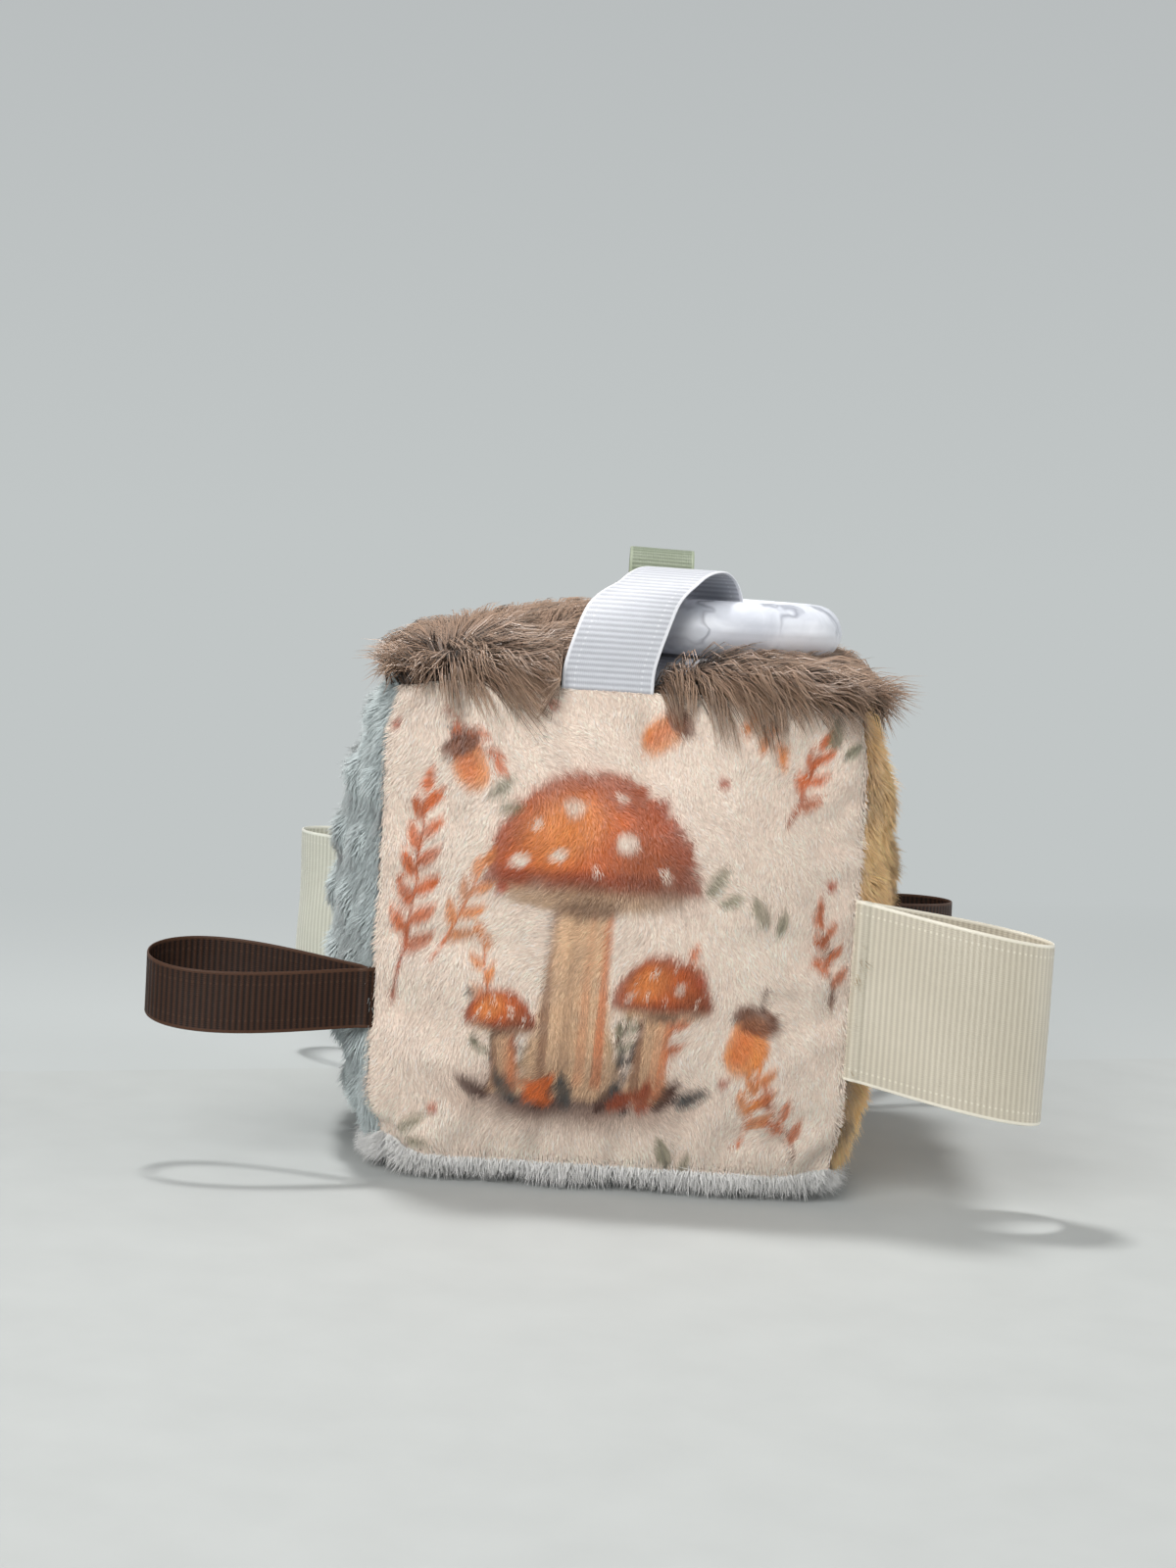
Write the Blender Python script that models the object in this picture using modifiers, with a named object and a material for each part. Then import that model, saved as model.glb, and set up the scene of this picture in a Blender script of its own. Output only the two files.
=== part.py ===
"""Soft fabric block with six ribbon loops and a teething ring.

Metres, +Z up. The origin is the middle of the flat patch that the block rests on.
The printed face looks along -Y and +X is to its right. Each of the six panels is a
crowned square whose seam allowances fold inward along the block's diagonal planes.
Between two allowances lie the stitching thread and the ends of the ribbons.
"""

import math

import bmesh
import bpy
from mathutils import Matrix, Vector

# The block: its square faces, and how far its bottom seams stand above the floor
block_width = 0.100
floor_sag = 0.0055

# How far each stuffed face swells past its own seams
front_crown = 0.010
back_crown = 0.011
left_crown = 0.013
right_crown = 0.0095
top_crown = 0.007
bottom_crown = 0.010
crown_power = 2.5
panel_divisions = 10

# Raised dots of the left plush, in staggered rows, and the soft tufts of the right one
dot_pitch = 0.0155
dot_diameter = 0.011
dot_height = 0.002
tuft_diameter = 0.022
tuft_height = 0.0019
relief_fade = 0.006
relief_divisions = 24

# Cloth, seams and stitching
cloth_thickness = 0.0016
seam_allowance = 0.00635
touch_gap = 0.0003
ribbon_thickness = 0.0005
filling_gap = 0.0005

# Ribbons, where their loops end inside the seam and how they leave it
root_depth = 0.0005
exit_height = 0.0002
loop_power = 1.5
loop_divisions = 26
ribbon_columns = 1

# The narrow brown loop at the front left seam, and its twin at the back right one
brown_width = 0.0127
brown_length = 0.047
brown_opening = 0.018
brown_front_height = 0.038
brown_back_height = 0.0445

# The two wide loops: cream at the front right seam, ivory at the back left one
cream_width = 0.038
cream_length = 0.041
cream_opening = 0.017
cream_height = 0.046
ivory_length = 0.039
ivory_height = 0.039

# The green loop that stands up from the seam between the top and the back
sage_width = 0.016
sage_length = 0.033
sage_opening = 0.014
sage_place = 0.007

# The white loop, which holds the teething ring down on the top face
white_width = 0.019
white_place = -0.005
white_heading = math.radians(33)
wrap_reach = 0.0209
curl_lift = 0.0026
skew_start = 0.001
skew_length = 0.011
drape_length = 0.010
strand_margin = 0.0001

# The teething ring
ring_diameter = 0.055
ring_tube_diameter = 0.012
ring_segments = 36
ring_sides = 12

# Shares and counts of the white loop's outline, in half strand pitches for its inner turn
inner_turn_shares = ((2.4, 1.75), (1.55, 0.62))
rise_steps = 7
curl_steps = 10
return_steps = 6

# Values worked out from the sizes above
half = block_width / 2
block_middle = Vector((0, 0, half + floor_sag))
top_seam_height = block_width + floor_sag
strand_half_pitch = (ribbon_thickness + touch_gap) / 2
tail_thickness = 2 * ribbon_thickness + touch_gap
groove_width = tail_thickness + 2 * touch_gap
thread_diameter = tail_thickness
rim_setback = groove_width / math.sqrt(2)
rim = half - rim_setback
groove_mouth = groove_width / 2
thread_depth = groove_mouth + thread_diameter / 2
tail_start = thread_depth + thread_diameter / 2 + touch_gap
fold_run = seam_allowance / math.sqrt(2)
tail_end = groove_mouth + seam_allowance - touch_gap

ring_tube_radius = ring_tube_diameter / 2
ring_radius = (ring_diameter - ring_tube_diameter) / 2
ring_height = top_seam_height + top_crown + touch_gap + ring_tube_radius
ring_bow = ring_radius - math.sqrt(ring_radius**2 - (white_width / 2) ** 2)
curl_radius = ring_tube_radius + math.hypot(ring_bow / 2, curl_lift) + touch_gap + ribbon_thickness / 2
curl_reach = wrap_reach + ring_bow / 2
curl_height = ring_height + curl_lift
heading_direction = Vector((math.sin(white_heading), math.cos(white_heading), 0))
wrap_point = Vector((white_place, -half, ring_height)) + heading_direction * wrap_reach

dot_row_pitch = dot_pitch * math.sqrt(3) / 2

# Each tuft's place as shares of the rim, and its share of the tuft height
TUFTS = (
    (-0.62, 0.58, 0.95), (-0.16, 0.70, 0.75), (0.35, 0.56, 1), (0.70, 0.72, 0.7),
    (-0.74, 0.12, 0.75), (-0.29, 0.21, 1), (0.16, 0.08, 0.7), (0.64, 0.16, 0.95),
    (-0.53, -0.33, 0.9), (-0.04, -0.43, 1), (0.47, -0.35, 0.8), (0.78, -0.62, 0.85),
    (-0.74, -0.74, 0.7), (0.12, -0.78, 0.85),
)

X_AXIS = Vector((1, 0, 0))
Z_AXIS = Vector((0, 0, 1))

# Panel name, crown, turn about X and Z in degrees, colour, roughness
PANELS = (
    ("front_panel", front_crown, 90, 0, (0.69, 0.54, 0.44), 0.85),
    ("back_panel", back_crown, 90, 180, (0.69, 0.54, 0.44), 0.85),
    ("left_panel", left_crown, 90, -90, (0.24, 0.31, 0.34), 0.9),
    ("right_panel", right_crown, 90, 90, (0.50, 0.29, 0.12), 0.9),
    ("top_panel", top_crown, 0, 0, (0.14, 0.09, 0.07), 0.95),
    ("bottom_panel", bottom_crown, 180, 0, (0.80, 0.78, 0.74), 0.9),
)

SIDE_NAMES = (("left", "right"), ("front", "back"), ("bottom", "top"))


def clear_scene():
    for obj in list(bpy.data.objects):
        bpy.data.objects.remove(obj, do_unlink=True)


def make_material(name, colour, roughness):
    material = bpy.data.materials.new(name)
    material.use_nodes = True
    shader = material.node_tree.nodes["Principled BSDF"]
    shader.inputs["Base Color"].default_value = (*colour, 1)
    shader.inputs["Roughness"].default_value = roughness
    shader.inputs["Metallic"].default_value = 0
    return material


def add_object(name, data, material):
    obj = bpy.data.objects.new(name, data)
    data.materials.append(material)
    block_collection.objects.link(obj)
    return obj


def add_mesh(name, cage, material):
    mesh = bpy.data.meshes.new(name)
    cage.to_mesh(mesh)
    cage.free()
    mesh.shade_smooth()
    mesh.set_sharp_from_angle(angle=math.radians(50))
    return add_object(name, mesh, material)


def smooth(share):
    share = min(1, max(0, share))
    return share * share * (3 - 2 * share)


def dot_relief(x, y):
    """How far the dotted plush stands up at a place on its face."""
    row = round(y / dot_row_pitch)
    shift = dot_pitch / 2 * (row % 2)
    column = round((x - shift) / dot_pitch)
    away = math.hypot(x - shift - column * dot_pitch, y - row * dot_row_pitch)
    return dot_height * smooth((1 - 2 * away / dot_diameter) / 0.76)


def tuft_relief(x, y):
    """How far the tufted plush stands up at a place on its face."""
    heights = [0]
    for place_x, place_y, share in TUFTS:
        away = math.hypot(x - place_x * rim, y - place_y * rim)
        heights.append(tuft_height * share * smooth(1 - 2 * away / tuft_diameter))
    return max(heights)


RELIEFS = {"left_panel": dot_relief, "right_panel": tuft_relief}


def rise(distance):
    """How much of its crown a face has at this distance from its middle line."""
    return 1 - min(1, abs(distance) / rim) ** crown_power


def crown_height(crown, x, y):
    return half + crown * rise(x) * rise(y)


def panel_height(crown, limit, x, y):
    """The height of a panel's facets over the block's middle, at a place on the face."""
    cell = 2 * rim / panel_divisions
    column, across = divmod(x + rim, cell)
    row, along = divmod(y + rim, cell)
    across /= cell
    along /= cell

    def corner(step_x, step_y):
        corner_x = (column + step_x) * cell - rim
        corner_y = (row + step_y) * cell - rim
        return min(limit, crown_height(crown, corner_x, corner_y))

    near = corner(0, 0) * (1 - across) + corner(1, 0) * across
    far = corner(0, 1) * (1 - across) + corner(1, 1) * across
    return near * (1 - along) + far * along


def top_surface(x, y):
    return block_middle.z + crown_height(top_crown, x, y)


def add_panel(name, crown, turn_x, turn_z, colour, roughness):
    """A crowned square with its four allowances folded in, thickened towards the filling."""
    height_limit = half + (floor_sag if name == "bottom_panel" else crown)
    relief = RELIEFS.get(name)
    divisions = relief_divisions if relief else panel_divisions
    cage = bmesh.new()
    bmesh.ops.create_grid(cage, x_segments=divisions, y_segments=divisions, size=rim)
    for vert in cage.verts:
        x, y, _ = vert.co
        vert.co.z = min(height_limit, crown_height(crown, x, y))
        if relief:
            edge_distance = rim - max(abs(x), abs(y))
            vert.co.z += relief(x, y) * smooth(edge_distance / relief_fade)
    border = [edge for edge in cage.edges if edge.is_boundary]
    folded = bmesh.ops.extrude_edge_only(cage, edges=border)["geom"]
    for vert in folded:
        if isinstance(vert, bmesh.types.BMVert):
            shrink = (rim - fold_run) / rim
            vert.co = Vector((vert.co.x * shrink, vert.co.y * shrink, half - fold_run))
    bmesh.ops.recalc_face_normals(cage, faces=cage.faces)
    highest = max(cage.faces, key=lambda face: face.calc_center_median().z)
    if highest.normal.z < 0:
        bmesh.ops.reverse_faces(cage, faces=cage.faces)
    panel = add_mesh(name, cage, make_material(name, colour, roughness))
    panel.location = block_middle
    panel.rotation_euler = (math.radians(turn_x), 0, math.radians(turn_z))
    cloth = panel.modifiers.new("cloth", "SOLIDIFY")
    cloth.thickness = cloth_thickness
    cloth.offset = -1
    cloth.use_even_offset = True
    cloth.use_quality_normals = True
    return panel


def filling_reach(crown, sag):
    """The middle part of a filling face, as wide as its depth leaves clear of the allowances."""
    corner_sum = 2 * half - rim_setback - 2 * fold_run - 2 * filling_gap
    reach = rim - fold_run
    for _ in range(60):
        height = min(half + sag, crown_height(crown, reach, 0)) - cloth_thickness - filling_gap
        reach += (corner_sum - height - reach) / 2
    return reach


def add_filling():
    """The stuffing: a crowned cube whose edges are cut back from the seam allowances."""
    crowns = ((left_crown, right_crown), (front_crown, back_crown), (bottom_crown, top_crown))
    corner = half - rim_setback / 2 - fold_run - filling_gap
    inner_share = 1 - 2 / panel_divisions
    cage = bmesh.new()
    bmesh.ops.create_cube(cage, size=2)
    bmesh.ops.subdivide_edges(cage, edges=cage.edges, cuts=panel_divisions - 1, use_grid_fill=True)
    reach = min(filling_reach(max(pair), max(pair)) for pair in crowns)
    for vert in cage.verts:
        place = vert.co.copy()
        outer = [axis for axis in range(3) if abs(place[axis]) > inner_share + 1 / panel_divisions]
        for axis in range(3):
            if axis not in outer:
                vert.co[axis] = place[axis] / inner_share * reach
            elif len(outer) > 1:
                vert.co[axis] = math.copysign(corner, place[axis])
        if len(outer) == 1:
            axis = outer[0]
            across = [vert.co[other] for other in range(3) if other != axis]
            crown = crowns[axis][place[axis] > 0]
            limit = half + (floor_sag if crown is crowns[2][0] else crown)
            height = panel_height(crown, limit, *across)
            vert.co[axis] = math.copysign(height - cloth_thickness - filling_gap, place[axis])
    bmesh.ops.recalc_face_normals(cage, faces=cage.faces)
    filling = add_mesh("fibre_filling", cage, make_material("fibre_filling", (0.85, 0.85, 0.84), 1))
    filling.location = block_middle
    return filling


def add_seam_thread(axis, signs, material):
    """The line of stitching in the groove between two panels, along one edge of the cube."""
    others = [other for other in range(3) if other != axis]
    inset = thread_depth / math.sqrt(2)
    reach = half - inset - thread_diameter - touch_gap
    names = [SIDE_NAMES[other][sign > 0] for other, sign in zip(others, signs)]
    curve = bpy.data.curves.new("seam_thread_" + "_".join(names), "CURVE")
    curve.dimensions = "3D"
    curve.bevel_depth = thread_diameter / 2
    curve.bevel_resolution = 1
    curve.use_fill_caps = True
    spline = curve.splines.new("POLY")
    spline.points.add(1)
    for point, end in zip(spline.points, (-1, 1)):
        place = Vector()
        place[axis] = end * reach
        for other, sign in zip(others, signs):
            place[other] = sign * (half - inset)
        point.co = (*place, 1)
    thread = add_object(curve.name, curve, material)
    thread.location = block_middle
    return thread


def seam_frame(point, along, outward):
    """A frame at a point on a seam: X along the seam, Y out of the block, Z across the seam."""
    across = along.cross(outward)
    frame = Matrix((along, outward, across)).transposed().to_4x4()
    frame.translation = point
    return frame


def add_strip(name, path, place, material, frame):
    """A ribbon: a flat grid with one row for each point of its path, bent by place(point, side)."""
    rows = len(path) - 1
    cage = bmesh.new()
    bmesh.ops.create_grid(cage, x_segments=rows, y_segments=ribbon_columns, size=1)
    for vert in cage.verts:
        row = round((vert.co.x + 1) / 2 * rows)
        vert.co = place(path[row], vert.co.y)
    strip = add_mesh(name, cage, material)
    strip.matrix_world = frame
    ribbon = strip.modifiers.new("ribbon", "SOLIDIFY")
    ribbon.thickness = ribbon_thickness
    ribbon.offset = 0
    ribbon.use_even_offset = True
    return strip


def add_tail(name, width, material, frame):
    """The two ends of a ribbon, stitched flat together between the allowances."""
    cage = bmesh.new()
    size = Matrix.Diagonal((width, tail_end - tail_start, tail_thickness, 1))
    middle = Matrix.Translation((0, -(tail_start + tail_end) / 2, 0))
    bmesh.ops.create_cube(cage, size=1, matrix=middle @ size)
    tail = add_mesh(name, cage, material)
    tail.matrix_world = frame
    return tail


def loop_path(length, opening):
    """A pear-shaped loop as (distance out, distance across), from one root to the other."""
    widest = max(
        math.sin(angle) * math.sin(angle / 2) ** loop_power
        for angle in (math.pi * step / 180 for step in range(180))
    )
    path = []
    for step in range(2, loop_divisions - 1):
        angle = math.tau * step / loop_divisions
        swell = math.sin(angle) * abs(math.sin(angle / 2)) ** loop_power / widest
        out = length * (1 - math.cos(angle)) / 2
        path.append((out, opening / 2 * swell + strand_half_pitch * math.cos(angle / 2)))
    return path


def add_tag(name, colour, width, length, opening, point, along, outward, lean, droop, twist):
    """A ribbon loop that stands off its seam, and the tail that the seam holds.

    The loop leans from the seam's outward direction by an angle about the seam. Its free
    end sinks by droop and its far strand lifts by twist, both as slopes.
    """
    frame = seam_frame(point, along, outward)
    material = make_material(name, colour, 0.6)
    first = (-root_depth, strand_half_pitch), (exit_height, strand_half_pitch)
    last = (exit_height, -strand_half_pitch), (-root_depth, -strand_half_pitch)
    path = [(*corner, 0) for corner in first]
    path += [(*corner, 1) for corner in loop_path(length, opening)]
    path += [(*corner, 0) for corner in last]

    def place(corner, side):
        out, across, leaning = corner
        turn = lean * leaning
        along_seam = side * width / 2 + leaning * (twist * across - droop * out)
        outward_reach = out * math.cos(turn) - across * math.sin(turn)
        return Vector((along_seam, outward_reach, out * math.sin(turn) + across * math.cos(turn)))

    loop = add_strip(name + "_loop", path, place, material, frame)
    tail = add_tail(name + "_tail", width, material, frame)
    return loop, tail


def white_path():
    """The white loop from its outer root over the ring to its inner root.

    Each point is (distance back from the seam, height over the seam, lies on the block).
    """
    diagonal = 1 / math.sqrt(2)
    crest = curl_height - top_seam_height
    outer_root = (
        diagonal * (root_depth - strand_half_pitch),
        -diagonal * (root_depth + strand_half_pitch),
    )
    outer_exit = (
        -diagonal * (exit_height + strand_half_pitch),
        diagonal * (exit_height - strand_half_pitch),
    )
    inner_root = (-outer_root[1], -outer_root[0])
    path = [(*outer_root, 0), (*outer_exit, 0)]
    for step in range(1, rise_steps + 1):
        angle = math.pi / 2 * step / rise_steps
        back = outer_exit[0] + (curl_reach - outer_exit[0]) * (1 - math.cos(angle))
        path.append((back, outer_exit[1] + (crest + curl_radius - outer_exit[1]) * math.sin(angle), 0))
    for step in range(1, curl_steps + 1):
        angle = math.pi / 2 - math.pi * step / curl_steps
        path.append((curl_reach + curl_radius * math.cos(angle), crest + curl_radius * math.sin(angle), 0))
    nearest = 2 * rim_setback
    for step in range(1, return_steps + 1):
        back = curl_reach + (nearest - curl_reach) * step / return_steps
        fall = min(1, (curl_reach - back) / drape_length)
        path.append((back, (crest - curl_radius) * (1 - fall), 1))
    for back_share, height_share in inner_turn_shares:
        path.append((back_share * strand_half_pitch, height_share * strand_half_pitch, 0))
    path.append((*inner_root, 0))
    return path


def add_white_loop():
    point = Vector((white_place, -half, top_seam_height))
    material = make_material("white_ribbon", (0.86, 0.87, 0.90), 0.5)
    lift = touch_gap + ribbon_thickness / 2 + strand_margin

    def place(corner, side):
        back, height, draped = corner
        skew = min(1, max(0, (back - skew_start) / skew_length))
        skew = skew * skew * (3 - 2 * skew)
        turn = white_heading * skew
        across = side * white_width / 2
        x = back * skew * math.sin(white_heading) + across * math.cos(turn)
        y = back * (1 - skew * (1 - math.cos(white_heading))) - across * math.sin(turn)
        if draped:
            surface = top_surface(point.x + x, point.y + y) - point.z
            height = max(height, surface + lift)
        return Vector((x, y, height))

    frame = Matrix.Translation(point)
    loop = add_strip("white_loop", white_path(), place, material, frame)
    outward = Vector((0, -1, 1)).normalized()
    tail = add_tail("white_tail", white_width, material, seam_frame(point, X_AXIS, outward))
    return loop, tail


def add_ring():
    bpy.ops.mesh.primitive_torus_add(
        major_segments=ring_segments,
        minor_segments=ring_sides,
        major_radius=ring_radius,
        minor_radius=ring_tube_radius,
    )
    ring = bpy.context.object
    ring.name = "teething_ring"
    for holder in list(ring.users_collection):
        holder.objects.unlink(ring)
    block_collection.objects.link(ring)
    ring.data.transform(Matrix.Translation(heading_direction * ring_radius))
    ring.data.shade_smooth()
    ring.data.materials.append(make_material("silicone", (0.83, 0.85, 0.88), 0.35))
    ring.location = wrap_point
    return ring


clear_scene()
block_collection = bpy.data.collections.new("soft_fabric_block")
bpy.context.scene.collection.children.link(block_collection)

for panel_values in PANELS:
    add_panel(*panel_values)
add_filling()

thread_material = make_material("stitching_thread", (0.80, 0.77, 0.70), 0.7)
for edge_axis in range(3):
    for edge_signs in ((-1, -1), (-1, 1), (1, -1), (1, 1)):
        add_seam_thread(edge_axis, edge_signs, thread_material)

add_tag(
    "brown_front", (0.045, 0.026, 0.02), brown_width, brown_length, brown_opening,
    Vector((-half, -half, brown_front_height)), Z_AXIS, Vector((-1, -1, 0)).normalized(),
    lean=math.radians(-45), droop=-0.02, twist=-0.22,
)
add_tag(
    "brown_back", (0.045, 0.026, 0.02), brown_width, brown_length, brown_opening,
    Vector((half, half, brown_back_height)), Z_AXIS, Vector((1, 1, 0)).normalized(),
    lean=math.radians(-5), droop=0.03, twist=0,
)
add_tag(
    "cream", (0.73, 0.66, 0.50), cream_width, cream_length, cream_opening,
    Vector((half, -half, cream_height)), Z_AXIS, Vector((1, -1, 0)).normalized(),
    lean=math.radians(45), droop=0.158, twist=0,
)
add_tag(
    "ivory", (0.76, 0.74, 0.62), cream_width, ivory_length, cream_opening,
    Vector((-half, half, ivory_height)), Z_AXIS, Vector((-1, 1, 0)).normalized(),
    lean=0, droop=0, twist=0,
)
add_tag(
    "sage", (0.34, 0.42, 0.26), sage_width, sage_length, sage_opening,
    Vector((sage_place, half, top_seam_height)), X_AXIS, Vector((0, 1, 1)).normalized(),
    lean=math.radians(15), droop=0, twist=0,
)
add_white_loop()
add_ring()
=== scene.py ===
import math

import bpy
import numpy as np
from mathutils import Matrix, Vector


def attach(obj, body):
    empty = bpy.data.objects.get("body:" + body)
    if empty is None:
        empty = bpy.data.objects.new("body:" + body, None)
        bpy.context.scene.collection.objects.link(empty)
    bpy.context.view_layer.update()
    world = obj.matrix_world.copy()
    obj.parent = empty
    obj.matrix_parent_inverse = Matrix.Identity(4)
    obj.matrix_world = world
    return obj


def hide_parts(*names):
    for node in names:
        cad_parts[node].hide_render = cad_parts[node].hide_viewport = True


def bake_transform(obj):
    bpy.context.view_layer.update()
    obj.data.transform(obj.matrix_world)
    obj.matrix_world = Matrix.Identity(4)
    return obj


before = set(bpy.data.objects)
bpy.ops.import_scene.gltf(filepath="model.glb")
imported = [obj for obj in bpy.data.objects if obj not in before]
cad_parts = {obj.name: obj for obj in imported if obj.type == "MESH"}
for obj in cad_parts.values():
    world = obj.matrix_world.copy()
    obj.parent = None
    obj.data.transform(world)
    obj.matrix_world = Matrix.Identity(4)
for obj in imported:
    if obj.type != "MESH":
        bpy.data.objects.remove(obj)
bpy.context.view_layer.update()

# Metres, +Z up, the printed face looks along -Y. These sizes repeat the part's own.
mm = 0.001
half_in_mm = 50
half = half_in_mm * mm
floor_sag = 5.5 * mm
block_middle = np.array((0, 0, half + floor_sag))
top_seam_height = 2 * half + floor_sag
crown_power = 2.5
seam_setback = 1.34 * mm
rim = half - seam_setback
cloth_rim = half - 0.35 * mm
fold_run = 4.49 * mm
cloth_thickness = 0.7 * mm
ribbon_thickness = 0.5 * mm
strand_half_pitch = 0.4 * mm
tail_depth = 7.0 * mm
touch_gap = 0.3 * mm
floor_gap = 0.3 * mm

# How far each stuffed face swells, and its turn about X and Z in degrees
FACES = {
    "front": (10 * mm, 90, 0),
    "back": (11 * mm, 90, 180),
    "left": (13 * mm, 90, -90),
    "right": (9.5 * mm, 90, 90),
    "top": (7 * mm, 0, 0),
    "bottom": (10 * mm, 180, 0),
}

# Whose material each face's pile has
SLOTS = {"front": "printed_plush", "back": "printed_plush", "left": "blue_plush",
         "right": "camel_plush", "top": "brown_fur", "bottom": "white_plush"}

# The ring and the white loop that holds it
ring_tube = 6 * mm
ring_radius = 21.5 * mm
ring_height = top_seam_height + FACES["top"][0] + touch_gap + ring_tube
mould_line = 0.14 * mm
white_width = 19 * mm
white_place = -5 * mm
white_heading = math.radians(33)
wrap_reach = 20.9 * mm
crest_slide = 3.5 * mm
curl_lift = 2.6 * mm
skew_start = 1 * mm
skew_length = 11 * mm
drape_length = 10 * mm
heading_direction = np.array((math.sin(white_heading), math.cos(white_heading), 0))
wrap_point = np.array((white_place, -half, ring_height)) + heading_direction * wrap_reach
ring_centre = wrap_point + heading_direction * ring_radius

# Grosgrain
rib_pitch = 1.25 * mm
warp_pitch = 0.42 * mm
rib_rows = 4
column_pitch = 1.6 * mm
loop_power = 1.5


def srgb(red, green, blue):
    """A colour read from 0 to 255, as the linear numbers that a shader takes."""
    values = np.array((red, green, blue)) / 255
    return np.where(values <= 0.04045, values / 12.92, ((values + 0.055) / 1.055) ** 2.4)


def smooth(value, low=0.0, high=1.0):
    share = np.clip((value - low) / (high - low), 0, 1)
    return share * share * (3 - 2 * share)


def unit(vectors):
    return vectors / np.maximum(np.linalg.norm(vectors, axis=-1, keepdims=True), 1e-12)


def read_at(places, known, values):
    """The rows that a table of values at known places has at other places."""
    return np.stack([np.interp(places, known, column) for column in values.T], axis=1)


def turned(vectors, angle):
    """Flat vectors, each turned to the left by an angle."""
    x, y = vectors[..., 0], vectors[..., 1]
    return np.stack((x * np.cos(angle) - y * np.sin(angle), x * np.sin(angle) + y * np.cos(angle)), -1)


lattice_size = 64


def cloud(x, y, cell, seed):
    """Smooth uneven values from 0 to 1, the same on every run."""
    lattice = np.random.default_rng(seed).random((lattice_size, lattice_size))
    column, row = (np.asarray(value) / cell + 1000 for value in (x, y))
    low_column, low_row = (np.floor(value).astype(int) for value in (column, row))
    across = smooth(column - low_column)
    along = smooth(row - low_row)

    def corner(step_column, step_row):
        return lattice[(low_column + step_column) % lattice_size, (low_row + step_row) % lattice_size]

    near, far = (corner(0, step) * (1 - across) + corner(1, step) * across for step in (0, 1))
    return near * (1 - along) + far * along


def select_only(obj):
    bpy.ops.object.select_all(action="DESELECT")
    obj.select_set(True)
    bpy.context.view_layer.objects.active = obj


def apply_modifiers(obj):
    select_only(obj)
    for modifier in list(obj.modifiers):
        bpy.ops.object.modifier_apply(modifier=modifier.name)


def face_outward(obj, hole_sides=0):
    """Turns all the faces of a closed mesh outward, and first fills holes of so many sides."""
    select_only(obj)
    bpy.ops.object.mode_set(mode="EDIT")
    bpy.ops.mesh.select_all(action="SELECT")
    if hole_sides:
        bpy.ops.mesh.fill_holes(sides=hole_sides)
    bpy.ops.mesh.normals_make_consistent(inside=False)
    bpy.ops.object.mode_set(mode="OBJECT")


def quads(*corners):
    return np.stack(corners, axis=-1).reshape(-1, 4)


def grid_quads(index):
    return quads(index[:-1, :-1], index[1:, :-1], index[1:, 1:], index[:-1, 1:])


def add_object(name, data, placed=Matrix()):
    obj = bpy.data.objects.new(name, data)
    obj.matrix_world = placed
    bpy.context.scene.collection.objects.link(obj)
    return obj


def mesh_from(name, points, faces, material):
    """A mesh object from arrays of points and of faces that all have as many corners."""
    points = np.asarray(points, dtype=np.float32).reshape(-1, 3)
    faces = np.asarray(faces, dtype=np.int32)
    mesh = bpy.data.meshes.new(name)
    mesh.vertices.add(len(points))
    mesh.vertices.foreach_set("co", points.ravel())
    mesh.loops.add(faces.size)
    mesh.loops.foreach_set("vertex_index", faces.ravel())
    mesh.polygons.add(len(faces))
    starts = np.arange(len(faces), dtype=np.int32) * faces.shape[1]
    mesh.polygons.foreach_set("loop_start", starts)
    mesh.update(calc_edges=True)
    mesh.polygons.foreach_set("use_smooth", np.ones(len(faces), dtype=bool))
    mesh.materials.append(material)
    return add_object(name, mesh)


def paint_points(obj, colours):
    """Keeps one linear colour for each point, painted shade and light included, which the material reads."""
    layer = obj.data.color_attributes.new("dye_and_shading", "FLOAT_COLOR", "POINT")
    values = np.ones((len(obj.data.vertices), 4), dtype=np.float32)
    values[:, :3] = colours
    layer.data.foreach_set("color", values.ravel())


# Materials
def new_material(name):
    """A material, its tree of nodes, and the object's own coordinates in that tree."""
    material = bpy.data.materials.new(name)
    material.use_nodes = True
    tree = material.node_tree
    return material, tree, add_node(tree, "ShaderNodeTexCoord").outputs["Object"]


def set_inputs(tree, node, inputs):
    """Links or sets a node's inputs. A colour comes as its three linear numbers."""
    for key, value in inputs.items():
        socket = node.inputs[key]
        if isinstance(value, bpy.types.NodeSocket):
            tree.links.new(value, socket)
        else:
            socket.default_value = (*value, 1) if socket.type == "RGBA" else value


def add_node(tree, kind, inputs=None, **settings):
    made = tree.nodes.new(kind)
    for key, value in settings.items():
        setattr(made, key, value)
    set_inputs(tree, made, inputs or {})
    return made


def finish_shader(material, **inputs):
    """Sets the main shader's inputs, whose names have an underscore for each space."""
    tree = material.node_tree
    named = {key.replace("_", " "): value for key, value in inputs.items()}
    set_inputs(tree, tree.nodes["Principled BSDF"], named)
    return material


def attribute(tree, name, output="Fac"):
    return add_node(tree, "ShaderNodeAttribute", attribute_name=name).outputs[output]


def calc(tree, operation, *values):
    return add_node(tree, "ShaderNodeMath", dict(enumerate(values)), operation=operation).outputs[0]


def mix_colour(tree, factor, first, second, blend="MIX"):
    inputs = {0: factor, 6: first, 7: second}
    return add_node(tree, "ShaderNodeMix", inputs, data_type="RGBA", blend_type=blend).outputs[2]


def ramp(tree, factor, low, high, first=0.0, second=1.0):
    ends = {"Value": factor, "From Min": low, "From Max": high, "To Min": first, "To Max": second}
    return add_node(tree, "ShaderNodeMapRange", ends).outputs["Result"]


def noise(tree, place, scale, detail=2.0, roughness=0.5, output="Fac"):
    inputs = {"Vector": place, "Scale": scale, "Detail": detail, "Roughness": roughness}
    return add_node(tree, "ShaderNodeTexNoise", inputs).outputs[output]


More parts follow.
